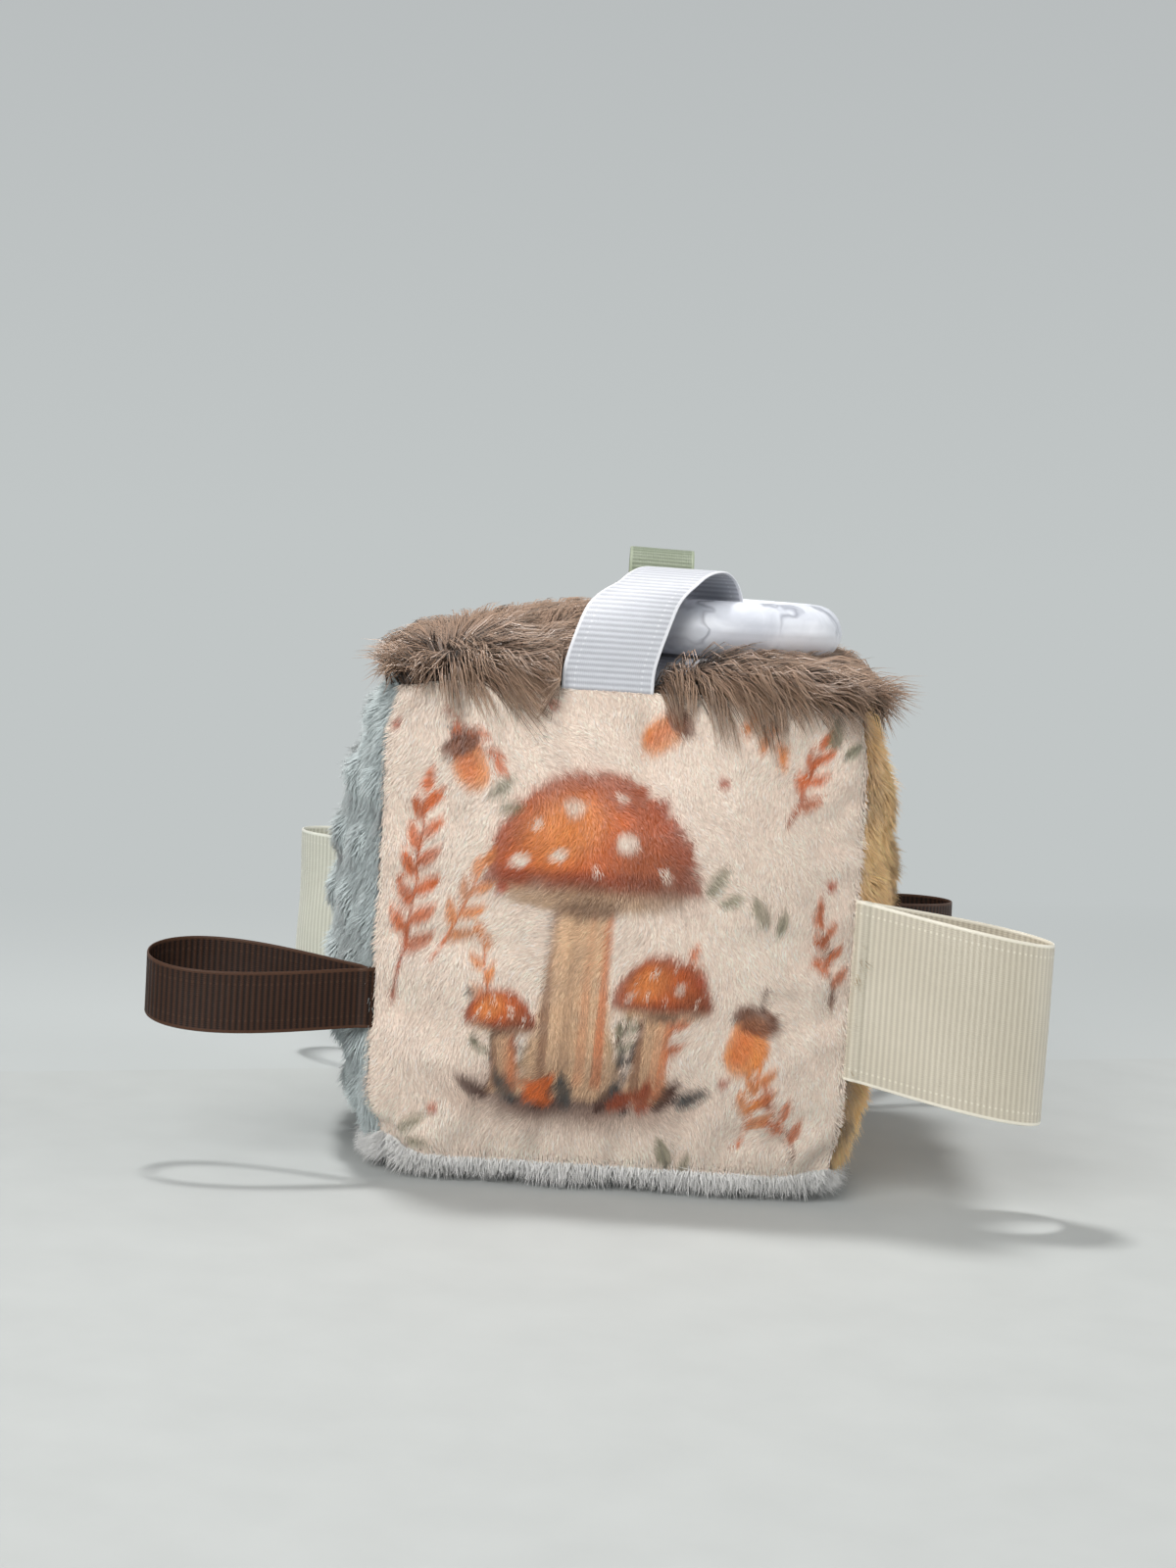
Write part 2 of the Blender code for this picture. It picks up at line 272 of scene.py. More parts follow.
def bump(tree, height, strength, distance, **more):
    inputs = {"Height": height, "Strength": strength, "Distance": distance, **more}
    return add_node(tree, "ShaderNodeBump", inputs).outputs["Normal"]


def pile_material(name, depth_tint, roughness, sheen):
    """Dyed fibres: the colour from the piece, with its painted shade and light, mottled, with glossier and
    duller places.
    """
    material, tree, place = new_material(name)
    mottle = ramp(tree, noise(tree, place, 160, 3), 0.35, 0.65)
    fine = ramp(tree, noise(tree, place, 1400, 1), 0.3, 0.7)
    deep = ramp(tree, mottle, 0, 1, 0.16, 0)
    shaded = mix_colour(tree, deep, attribute(tree, "dye_and_shading", "Color"), depth_tint, "MULTIPLY")
    return finish_shader(
        material,
        Base_Color=mix_colour(tree, ramp(tree, fine, 0, 1, 0.0, 0.14), shaded, (1, 1, 1), "SOFT_LIGHT"),
        Roughness=ramp(tree, fine, 0, 1, roughness - 0.12, roughness + 0.12),
        Sheen_Weight=sheen,
        Sheen_Roughness=0.45,
        Normal=bump(tree, fine, 0.25, 0.1 * mm),
    )


def knit_material(name):
    """The knitted ground under the pile, seen only between the fibres and in the seams."""
    material, tree, place = new_material(name)
    loops = add_node(tree, "ShaderNodeTexVoronoi", {"Vector": place, "Scale": 1100.0}).outputs["Distance"]
    shade = ramp(tree, loops, 0, 0.7, 0.0, 0.25)
    patches = ramp(tree, noise(tree, place, 220), 0.3, 0.7, 0, 0.25)
    colour = mix_colour(tree, shade, attribute(tree, "dye_and_shading", "Color"), (0.45, 0.42, 0.4), "MULTIPLY")
    return finish_shader(
        material,
        Base_Color=mix_colour(tree, patches, colour, (0.7, 0.68, 0.66), "MULTIPLY"),
        Roughness=ramp(tree, loops, 0, 1, 0.8, 1.0),
        Sheen_Weight=0.3,
        Normal=bump(tree, loops, 0.6, 0.2 * mm),
    )


def grosgrain_material(name, dyes, roughness, sheen, gloss=0.5):
    """Ribbed ribbon: bright ribs, valleys darkened as painted shade, fine warp threads and a woven edge."""
    colour, valley_shade, edge = (srgb(*dye_and_shading) for dye_and_shading in dyes)
    material, tree, place = new_material(name + "_grosgrain")
    inset = attribute(tree, "inset")
    rib = calc(tree, "COSINE", calc(tree, "MULTIPLY", attribute(tree, "along"), math.tau / rib_pitch))
    warp = calc(tree, "SINE", calc(tree, "MULTIPLY", attribute(tree, "across"), math.tau / warp_pitch))
    cloudy = noise(tree, place, 320, 3)
    # Painted shade in the valleys between the ribs.
    body = mix_colour(tree, ramp(tree, rib, -1, 1), valley_shade, colour)
    body = mix_colour(tree, ramp(tree, warp, -1, 1, 0.0, 0.12), body, (0.75, 0.75, 0.75), "MULTIPLY")
    body = mix_colour(tree, ramp(tree, cloudy, 0.3, 0.7, 0.0, 0.16), body, (0.8, 0.8, 0.8), "MULTIPLY")
    body = mix_colour(tree, ramp(tree, inset, 0.55 * mm, 0.75 * mm, 1, 0), body, edge)
    near_line = calc(tree, "COMPARE", inset, 2.6 * mm, 0.22 * mm)
    dots = calc(tree, "MULTIPLY", near_line, ramp(tree, rib, 0.1, 0.6, 0, 0.55))
    return finish_shader(
        material,
        Base_Color=mix_colour(tree, dots, body, edge),
        Roughness=ramp(tree, cloudy, 0.2, 0.8, roughness - 0.08, roughness + 0.1),
        Specular_IOR_Level=gloss,
        Sheen_Weight=sheen,
        Sheen_Roughness=0.4,
        Normal=bump(tree, dots, 0.4, 0.1 * mm, Normal=bump(tree, warp, 0.35, 0.06 * mm)),
    )


def silicone_material():
    """White silicone with soft grey marbling, a satin skin and a faint speckle of lint."""
    material, tree, place = new_material("marbled_silicone")
    warp = noise(tree, place, 45.0, 3.0, output="Color")
    bent = add_node(tree, "ShaderNodeVectorMath", {0: warp, 1: (0.03, 0.03, 0.03)}, operation="MULTIPLY")
    bent = add_node(tree, "ShaderNodeVectorMath", {0: bent.outputs[0], 1: place}).outputs[0]
    line = calc(tree, "ABSOLUTE", calc(tree, "SUBTRACT", noise(tree, bent, 46, 3), 0.5))
    where = ramp(tree, noise(tree, place, 50, 2), 0.44, 0.60)
    thin = calc(tree, "MULTIPLY", ramp(tree, line, 0.0, 0.034, 1, 0), where)
    wash = ramp(tree, noise(tree, bent, 48, 4, 0.6), 0.48, 0.64, 0, 0.6)
    colour = mix_colour(tree, wash, srgb(232, 236, 245), srgb(188, 193, 205))
    skin = noise(tree, place, 900, 2)
    return finish_shader(
        material,
        Base_Color=mix_colour(tree, ramp(tree, thin, 0, 1, 0, 0.8), colour, srgb(140, 144, 157)),
        Roughness=ramp(tree, skin, 0.3, 0.7, 0.34, 0.46),
        Subsurface_Weight=0.08,
        Subsurface_Radius=(0.004, 0.004, 0.0045),
        Coat_Weight=0.12,
        Coat_Roughness=0.3,
        Normal=bump(tree, skin, 0.08, 0.1 * mm),
    )


def thread_material():
    """Twisted polyester sewing thread."""
    material, tree, place = new_material("stitching_thread")
    turns = {"Vector": place, "Scale": 420.0, "Distortion": 0.6}
    twist = add_node(tree, "ShaderNodeTexWave", turns, bands_direction="DIAGONAL").outputs["Fac"]
    return finish_shader(
        material,
        Base_Color=mix_colour(tree, twist, srgb(196, 188, 172), srgb(232, 227, 214)),
        Roughness=ramp(tree, noise(tree, place, 800), 0.3, 0.7, 0.5, 0.7),
        Sheen_Weight=0.3,
        Normal=bump(tree, twist, 0.7, 0.15 * mm),
    )


def fibre_material():
    """White polyester stuffing."""
    material, tree, place = new_material("polyester_fibre")
    tangle = noise(tree, place, 500, 6, 0.7)
    return finish_shader(
        material,
        Base_Color=mix_colour(tree, tangle, srgb(214, 214, 212), srgb(245, 245, 243)),
        Roughness=ramp(tree, tangle, 0.3, 0.7, 0.85, 1.0),
        Sheen_Weight=0.4,
        Normal=bump(tree, tangle, 0.9, 1 * mm),
    )


# The stuffed block, which every panel and its pile follow
def face_turn(name):
    _, turn_x, turn_z = FACES[name]
    turn = Matrix.Rotation(math.radians(turn_z), 3, "Z") @ Matrix.Rotation(math.radians(turn_x), 3, "X")
    return np.array(turn)


def to_world(name, local):
    return local @ face_turn(name).T + block_middle


def crown_share(distance, reach=half):
    return 1 - np.minimum(1, np.abs(distance) / reach) ** crown_power


block_divisions = 24
same_place = 0.05 * mm
start_share = 0.78
lowest_grid = 1.2 * mm
lowest_cloth = 1.0 * mm
swell_cap = 3.4 * mm
sim_frames = 20
STUFFING = {
    "quality": 6, "mass": 0.3, "tension_stiffness": 25, "compression_stiffness": 25,
    "shear_stiffness": 8, "bending_stiffness": 0.8, "shrink_min": -0.012,
    "use_pressure": True, "uniform_pressure_force": 4, "vertex_group_mass": "seams",
}


def start_grid(name):
    """One face before the stuffing swells it, with the block's corners rounded a little."""
    crown = FACES[name][0] * start_share
    steps = np.linspace(-half, half, block_divisions + 1)
    x, y = np.meshgrid(steps, steps, indexing="ij")
    uneven = 1 + 0.16 * (cloud(x, y, 21 * mm, sum(map(ord, name))) - 0.5)
    height = half + crown * crown_share(x) * crown_share(y) * uneven
    place = to_world(name, np.stack((x, y, height), axis=-1)) - block_middle
    corner = smooth(np.abs(place).sum(axis=-1), 2.72 * half, 3.0 * half)
    worn = smooth(-place / half, 0.7, 1.0).prod(axis=-1)
    place *= (1 - (0.035 + 0.035 * worn) * corner)[..., None]
    return place + block_middle


def swell(points, faces, seams):
    """The places of the sewn cube's points after cloth simulation has swelled it."""
    block = mesh_from("stuffed_block", points, faces, knit_ground)
    block.vertex_groups.new(name="seams").add([int(i) for i in seams], 1.0, "REPLACE")
    cloth = block.modifiers.new("stuffing", "CLOTH")
    for key, value in STUFFING.items():
        setattr(cloth.settings, key, value)
    cloth.settings.effector_weights.gravity = 0
    cloth.collision_settings.use_collision = False
    for step in range(1, sim_frames + 1):
        bpy.context.scene.frame_set(step)
    apply_modifiers(block)
    swollen = np.empty(len(points) * 3)
    block.data.vertices.foreach_get("co", swollen)
    bpy.context.scene.frame_set(1)
    bpy.data.objects.remove(block)
    move = swollen.reshape(-1, 3) - points
    distance = np.linalg.norm(move, axis=1, keepdims=True)
    return points + unit(move) * swell_cap * np.tanh(distance / swell_cap)


def stuff_block():
    """Sews the six faces into a cube, swells it and returns each face's grid of points."""
    points, keys, faces, seams, members = [], {}, [], [], {}
    for name in FACES:
        grid = start_grid(name)
        index = np.zeros(grid.shape[:2], dtype=int)
        for place in np.ndindex(*index.shape):
            key = tuple(np.round(grid[place] / same_place).astype(int))
            if key not in keys:
                keys[key] = len(points)
                points.append(grid[place])
            index[place] = keys[key]
        members[name] = index
        faces.append(grid_quads(index))
        seams += [index[0], index[-1], index[:, 0], index[:, -1]]
    points = np.array(points)
    points = swell(points, np.concatenate(faces), np.unique(np.concatenate(seams)))
    points[:, 2] = np.maximum(points[:, 2], lowest_grid)
    return {name: points[index] for name, index in members.items()}


def sample_grid(name, u, v):
    """A smooth surface through a face's grid, at places from -1 to 1."""
    padded_grid = np.pad(block_grids[name], ((1, 1), (1, 1), (0, 0)), mode="reflect", reflect_type="odd")

    def weights(value):
        cell = np.clip((np.asarray(value) + 1) / 2 * block_divisions, -0.999, block_divisions + 0.999)
        low = np.clip(np.floor(cell).astype(int), 0, block_divisions - 1)
        share = cell - low
        return low, (
            ((2 - share) * share - 1) * share / 2,
            ((3 * share - 5) * share * share + 2) / 2,
            ((4 - 3 * share) * share + 1) * share / 2,
            (share - 1) * share * share / 2,
        )

    column, across = weights(u)
    row, along = weights(v)
    total = 0
    for i in range(4):
        for j in range(4):
            total = total + (across[i] * along[j])[..., None] * padded_grid[column + i, row + j]
    return total


# Raised dots of the two dotted plushes: width and height
dot_pitch = 15.5 * mm
dot_row_share = 0.866
DOTS = {"left": (11 * mm, 2.0 * mm), "bottom": (11 * mm, 1.6 * mm)}

# Lumps of the filling behind each face: width and height
LUMPS = {
    "front": (26 * mm, 0.7 * mm), "back": (26 * mm, 0.8 * mm), "left": (17 * mm, 0.8 * mm),
    "right": (9 * mm, 0.4 * mm), "top": (20 * mm, 1.4 * mm), "bottom": (14 * mm, 1.0 * mm),
}
flat_edge = 6 * mm

# The right face's tufts: place over the rim, and share of the full height
tuft_diameter = 22 * mm
tuft_height = 1.9 * mm
TUFTS = (
    (-0.62, 0.58, 0.95), (-0.16, 0.70, 0.75), (0.35, 0.56, 1), (0.70, 0.72, 0.7),
    (-0.74, 0.12, 0.75), (-0.29, 0.21, 1), (0.16, 0.08, 0.7), (0.64, 0.16, 0.95),
    (-0.53, -0.33, 0.9), (-0.04, -0.43, 1), (0.47, -0.35, 0.8), (0.78, -0.62, 0.85),
    (-0.74, -0.74, 0.7), (0.12, -0.78, 0.85),
)


def relief(name, u, v):
    """How far the cloth stands off the smooth swell: lumps of filling, and raised dots."""
    x, y = u * half, v * half
    cell, size = LUMPS[name]
    height = size * (cloud(x, y, cell, 40 + len(name)) - 0.5)
    if name in DOTS:
        width, rise = DOTS[name]
        row = np.round(y / (dot_pitch * dot_row_share))
        column = np.round(x / dot_pitch - 0.5 * (row % 2)) + 0.5 * (row % 2)
        away = np.hypot(x - column * dot_pitch, y - row * dot_pitch * dot_row_share)
        height = height + rise * smooth(away, width / 2, width * 0.12)
    if name == "right":
        tufts = [
            tuft_height * share * smooth(np.hypot(x - across * rim, y - up * rim), tuft_diameter / 2, 0)
            for across, up, share in TUFTS
        ]
        height = height + np.max(tufts, axis=0)
    edge = np.minimum(1 - np.abs(u), 1 - np.abs(v)) * half
    return height * smooth(edge, 0, flat_edge)


coarse_step = 0.01
fine_step = 0.008


def slopes(place_at, u, v, step):
    """The directions straight out of a surface, to its right and upward."""
    side = place_at(u + step, v) - place_at(u - step, v)
    rise = place_at(u, v + step) - place_at(u, v - step)
    return unit(np.cross(side, rise)), unit(side), unit(rise)


def surface(name, u, v):
    """Places on a face, and its slopes there."""
    def swollen(u, v):
        return sample_grid(name, u, v)

    def raised(u, v):
        out = slopes(swollen, u, v, coarse_step)[0]
        return swollen(u, v) + out * relief(name, u, v)[..., None]

    return raised(u, v), *slopes(raised, u, v, fine_step)


# The print of the front and back cloth, in millimetres over a repeat
print_width = 104.0
print_height = 112.0
ground_colour = srgb(252, 229, 212)
rust = srgb(212, 104, 44)
deep_rust = srgb(158, 68, 30)
umber = srgb(70, 38, 28)
bark = srgb(108, 62, 40)
ochre = srgb(232, 142, 76)
tan = srgb(232, 190, 152)
cream_dye = srgb(250, 232, 216)
moss = srgb(112, 116, 88)
slate = srgb(62, 66, 66)
brick = srgb(178, 78, 48)

# A toadstool's shades: place across the stem over its half width, colour and strength. Then
# its cap, over its height: place, size, colour, turn, softness, strength and cut.
STEM_STROKES = ((-0.85, bark, 0.75), (0.8, rust, 0.7), (-0.2, bark, 0.3), (0.3, rust, 0.3))
CAP_WASHES = (
    (0, -0.065, 0.1, 0.03, umber, 0, 0.7, 0.6),
    (0, 0, 0.335, 0.36, deep_rust * 0.8, 0, 0.03, 1, 0.0),
    (0.01, 0.02, 0.30, 0.325, deep_rust, 0, 0.3, 1, 0.03),
    (-0.02, 0.05, 0.25, 0.27, rust, 0, 0.7, 1, 0.03),
    (-0.09, 0.18, 0.14, 0.1, ochre, 30, 0.9, 0.85),
    (0.2, 0.06, 0.14, 0.09, bark, -30, 1.2, 0.6),
)
CAP_DOTS = (
    (-0.22, 0.08, 0.028), (-0.06, 0.25, 0.032), (0.11, 0.15, 0.036), (0.23, 0.06, 0.02),
    (-0.1, 0.1, 0.024), (0.08, 0.29, 0.018), (0.02, 0.06, 0.016), (-0.17, 0.19, 0.015),
)


def stepped(x, y, turn, ahead, left=0.0):
    """The place some way from another along a direction in degrees, and to its left."""
    cos = math.cos(math.radians(turn))
    sin = math.sin(math.radians(turn))
    return x + ahead * cos - left * sin, y + ahead * sin + left * cos


class Print:
    """Watercolour shapes laid one over another at the places asked for."""

    def __init__(self, x, y):
        self.x, self.y = self.nearest_repeat(x, y)
        wash = cloud(self.x, self.y, 9, 5)[:, None]
        self.colour = ground_colour * (1 + 0.05 * (wash - 0.5))
        self.grain = cloud(self.x, self.y, 1.1, 6) - 0.5
        pool = cloud(self.x, self.y, 3.4, 7)
        self.cover = 0.72 + 0.28 * pool + 0.16 * self.grain
        self.tone = 0.86 + 0.28 * pool[:, None]

    @staticmethod
    def nearest_repeat(x, y):
        return ((x + print_width / 2) % print_width - print_width / 2,
                (y + print_height / 2) % print_height - print_height / 2)

    def seen_from(self, x, y, turn):
        """How far the places lie from one of them along a direction, and to its left."""
        across, along = self.nearest_repeat(self.x - x, self.y - y)
        cos = math.cos(math.radians(turn))
        sin = math.sin(math.radians(turn))
        return across * cos + along * sin, along * cos - across * sin

    def lay(self, mask, colour, strength):
        mask = np.clip(mask * strength * self.cover, 0, 1)[:, None]
        self.colour = self.colour * (1 - mask) + colour * self.tone * mask

    def oval(self, x, y, width, height, colour, turn=0, soft=0.25, strength=1.0, cut=None):
        u, v = self.seen_from(x, y, turn)
        mask = smooth(np.hypot(u / width, v / height) + 0.1 * self.grain, 1 + soft / 2, 1 - soft / 2)
        if cut is not None:
            mask = mask * smooth(v / height, cut - 0.06, cut + 0.06)
        self.lay(mask, colour, strength)

    def stroke(self, x, y, turn, length, width, colour, bend=0.0, strength=1.0):
        """A tapering brush stroke that starts at a place and runs in a direction."""
        u, v = self.seen_from(x, y, turn)
        u = u / length
        aside = np.abs(v - bend * length * u * u)
        reach = width / 2 * (1 - 0.55 * np.clip(u, 0, 1))
        mask = smooth(aside, reach + 0.22, reach - 0.12) * smooth(u, -0.02, 0.02) * smooth(u, 1.04, 0.96)
        self.lay(mask, colour, strength)

    def leaf(self, x, y, turn, length, width, colour, vein, strength=1.0):
        u, v = self.seen_from(x, y, turn)
        u = u / length
        reach = width / 2 * np.sin(math.pi * np.clip(u, 0, 1) ** 0.8) ** 0.8
        mask = smooth(np.abs(v), reach + 0.25, reach - 0.35) * ((u > 0) & (u < 1))
        self.lay(mask, colour, strength)
        self.stroke(x, y, turn, length * 0.9, 0.35, vein, strength=0.5)

    def sprig(self, x, y, turn, length, leaves, leaf_size, colour, stem_colour, bend=0.1):
        self.stroke(x, y, turn, length, 0.8, stem_colour, bend=bend)
        for index in range(leaves):
            share = 0.25 + 0.75 * index / (leaves - 1)
            spread = 0 if index == leaves - 1 else (46 - 18 * share) * (1 if index % 2 else -1)
            size = leaf_size * (1.05 - 0.3 * share)
            tint = colour if index % 3 else colour * 0.82
            place = stepped(x, y, turn, length * share, bend * length * share * share)
            self.leaf(*place, turn + spread, size, size * 0.42, tint, stem_colour)

    def acorn(self, x, y, turn, size):
        tip_x, tip_y = stepped(x, y, turn, -0.55 * size)
        self.oval(tip_x, tip_y, 0.75 * size, 0.5 * size, ochre, turn)
        self.oval(tip_x - 0.1 * size, tip_y, 0.5 * size, 0.25 * size, rust, turn, 0.5, 0.6)
        self.oval(*stepped(x, y, turn, 0.08 * size), 0.34 * size, 0.6 * size, bark, turn)
        self.stroke(*stepped(x, y, turn, 0.3 * size), turn + 12, 0.6 * size, 0.9, umber)

    def toadstool(self, x, y, size, lean):
        """The stem stands at the place given. The size is the height."""
        stem = 0.105 * size
        for step in range(15):
            share = step / 14
            wide = stem * (1.25 - 0.5 * share + 0.35 * (1 - share) ** 4)
            self.oval(x + lean * size * share * share, y + 0.63 * size * share, wide, 0.05 * size,
                      tan * (0.80 + 0.25 * share))
        for side, tone, strength in STEM_STROKES:
            self.stroke(x + side * stem, y, 90 - lean * 55, 0.56 * size, 2.2, tone, strength=strength)
        x += lean * size
        y += 0.62 * size
        self.oval(x, y, 0.30 * size, 0.075 * size, tan * 0.62)
        for step in range(-7, 8):
            self.stroke(x + 0.004 * step * size, y + 0.05 * size, -90 + 9.5 * step,
                        0.13 * size, 0.7, umber, strength=0.5)
        for across, up, wide, high, *finish in CAP_WASHES:
            self.oval(x + across * size, y + up * size, wide * size, high * size, *finish)
        for across, up, wide in CAP_DOTS:
            self.oval(x + across * size, y + up * size, wide * size, wide * 0.8 * size,
                      cream_dye, 0, 0.4, 0.95)


def print_colours(x, y):
    """The dye at places on the cloth, in millimetres from the middle of the front panel."""
    cloth = Print(x, y)
    cloth.oval(-7, -35, 23, 6.5, bark, soft=1.2, strength=0.75)
    cloth.oval(-12, -35, 12, 4.5, umber, soft=1.0, strength=0.8)
    for turn, length, tone in ((148, 15, moss), (128, 21, slate), (58, 17, moss), (38, 14, slate)):
        foot = -7 + length * 0.45 * math.cos(math.radians(turn))
        cloth.sprig(foot, -31, turn, length, 7, 5.2, tone, umber, 0.12)
    cloth.sprig(-20, -30, 112, 28, 8, 6.0, ochre, rust, -0.12)
    cloth.sprig(8, -30, 66, 26, 8, 6.0, rust, bark, 0.14)
    for toadstool in ((-8, -32, 66, 0.03), (8, -34, 31, 0.07), (-21, -34, 22, -0.08)):
        cloth.toadstool(*toadstool)
    for across, up, turn, tone in (
        (-24, -36, 150, umber), (-19, -37, 120, slate), (-14, -38, 75, umber), (-8, -38, 100, slate),
        (-2, -38, 60, umber), (4, -38, 110, slate), (10, -37, 55, umber), (14, -36, 30, slate),
        (-11, -37, 140, rust), (0, -37, 35, deep_rust), (7, -38, 80, deep_rust), (-17, -36, 45, rust),
    ):
        cloth.leaf(across, up, turn, 9, 3.6, tone, umber)
    for sprig in (
        (-46, -18, 78, 44, 12, 8.5, rust, deep_rust), (-38, -8, 58, 22, 7, 7.0, ochre, rust),
        (33, 24, 62, 17, 6, 6.5, rust, deep_rust), (28, -44, 74, 19, 7, 7.0, ochre, rust),
        (40, -46, 110, 14, 5, 6.5, rust, bark), (-38, 44, -48, 15, 5, 6.5, rust, deep_rust),
        (24, 50, -64, 13, 5, 6.0, ochre, rust), (46, -14, 96, 20, 7, 6.0, rust, bark),
    ):
        cloth.sprig(*sprig)
    for across, up, turn in ((18, 9, 60), (31, 3, 118), (-28, 26, 40), (42, 40, 80),
                             (-44, -46, 35), (14, -50, 110)):
        cloth.leaf(across, up, turn, 8, 3.2, moss, slate, 0.85)
        cloth.leaf(across + 2.4, up - 1.5, turn - 38, 6, 2.6, moss * 1.15, slate, 0.8)
    for acorn in ((30, -17, 70, 9), (-34, 36, 120, 7.5), (10, 44, 40, 7)):
        cloth.acorn(*acorn)
    for across, up in ((20, 32), (-24, 8), (24, -30), (-36, -40), (44, 12), (-16, 46), (38, 54),
                       (-48, 40), (18, -8)):
        cloth.oval(across, up, 1.25, 1.1, brick, 30, 0.5)
        cloth.oval(across - 0.6, up + 0.9, 0.7, 0.35, deep_rust, 60, 0.6, 0.8)
    return cloth.colour


# Where in the repeat a printed face starts, and the darkest and lightest colour of the others: a mottle
# moves between them, and so do painted shade at the fibres' roots and painted light at their tips
PRINT_PLACES = {"front": (0, 0), "back": (50, 34)}
PLAIN_DYES = {
    "left": ((156, 167, 169), (197, 208, 209)),
    "right": ((214, 154, 86), (252, 206, 136)),
    "top": ((62, 48, 41), (126, 106, 92)),
    "bottom": ((244, 243, 240), (252, 252, 250)),
}


def panel_dye(name, u, v, share):
    """The cloth's colour at places on a face. The share is how near the fibres' tips: plain faces get
    painted shade near the roots and painted light near the tips.
    """
    x, y = (np.ravel(value) * half_in_mm for value in (u, v))
    if name in PRINT_PLACES:
        shift_x, shift_y = PRINT_PLACES[name]
        return print_colours(x + shift_x, y + shift_y)
    low, high = (srgb(*dye_and_shading) for dye_and_shading in PLAIN_DYES[name])
    mottle = 0.6 * cloud(x, y, 8, 81) + 0.4 * cloud(x, y, 2.2, 82)
    tone = np.clip(0.25 + 0.5 * mottle + 0.4 * (share - 0.5), 0, 1)[:, None]
    return low * (1 - tone) + high * tone


panel_cells = 50
fold_steps = (0.3, 0.65, 1.0)


def make_panel(name):
    """A crowned square of cloth with its seam allowances folded in, closed and hemmed."""
    steps = np.linspace(-cloth_rim / half, cloth_rim / half, panel_cells + 1)
    u, v = np.meshgrid(steps, steps, indexing="ij")
    place = surface(name, u, v)[0]
    place[..., 2] = np.maximum(place[..., 2], lowest_cloth)
    index = np.arange(u.size).reshape(u.shape)
    points = [place.reshape(-1, 3)]
    faces = [grid_quads(index)]
    border = np.concatenate((index[:-1, 0], index[-1, :-1], index[:0:-1, -1], index[0, :0:-1]))
    edge = points[0][border]
    local = np.stack((u, v, np.zeros_like(u)), -1).reshape(-1, 3)[border] * half
    local[:, :2] *= (rim - fold_run) / cloth_rim
    local[:, 2] = half - fold_run
    folded = to_world(name, local)
    last = border
    for row, step in enumerate(fold_steps):
        points.append(edge + (folded - edge) * step)
        ring = np.arange(len(border)) + u.size + row * len(border)
        faces.append(quads(last, ring, np.roll(ring, -1), np.roll(last, -1)))
        last = ring
    panel = mesh_from(name + "_cloth", np.concatenate(points), np.concatenate(faces), knit_ground)
    # The cloth is coloured as near the fibres' roots and dimmed: painted shade beneath the pile.
    inner = panel_dye(name, u, v, 0.1)
    paint_points(panel, np.concatenate((inner, np.tile(inner[border], (len(fold_steps), 1)))) * 0.95)
    thickness = panel.modifiers.new("cloth", "SOLIDIFY")
    thickness.thickness = cloth_thickness
    thickness.offset = -1
    apply_modifiers(panel)
    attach(panel, "block")
    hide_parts(name + "_panel")
    return panel


# The two pairs of faces that meet in the seams along X, Y and Z
SEAMS = (
    (("front", "back"), ("bottom", "top")),
    (("left", "right"), ("bottom", "top")),
    (("left", "right"), ("front", "back")),
)
thread_radius = 0.6 * mm
thread_depth = 1.75 * mm
thread_ends = (0.02, 0.98)
thread_steps = 161
thread_sides = 8
stitch_length = 2.4 * mm


def make_seam_thread(axis, first, second, material):
    """The sewing thread in one seam: thick in the middle of each stitch and thin between."""
    edges = [
        [edge if edge[0][axis] < edge[-1][axis] else edge[::-1]
         for edge in (grid[0], grid[-1], grid[:, 0], grid[:, -1])]
        for grid in (block_grids[first], block_grids[second])
    ]
    shared = next(one for one in edges[0] for other in edges[1] if np.allclose(one, other, atol=1e-5))
    way = np.zeros(3)
    way[axis] = 1
    inward = -unit(face_turn(first)[:, 2] + face_turn(second)[:, 2])
    steps = np.linspace(*thread_ends, thread_steps)
    rows = np.linspace(0, 1, len(shared))
    middle = read_at(steps, rows, shared) + inward * thread_depth
    along = (steps - steps[0]) * 2 * half
    thick = thread_radius * (0.78 + 0.22 * np.abs(np.sin(math.pi * along / stitch_length)))
    turns = math.tau * np.arange(thread_sides) / thread_sides
    ring = inward * np.cos(turns)[:, None] + np.cross(way, inward) * np.sin(turns)[:, None]
    points = middle[:, None] + ring * thick[:, None, None]
    index = np.arange(points.shape[0] * thread_sides).reshape(-1, thread_sides)
    after = np.roll(index, -1, axis=1)
    faces = quads(index[:-1], index[1:], after[1:], after[:-1])
    thread = mesh_from(f"stitching_{first}_{second}", points, faces, material)
    face_outward(thread, thread_sides)
    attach(thread, "block")
    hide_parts(f"seam_thread_{first}_{second}")


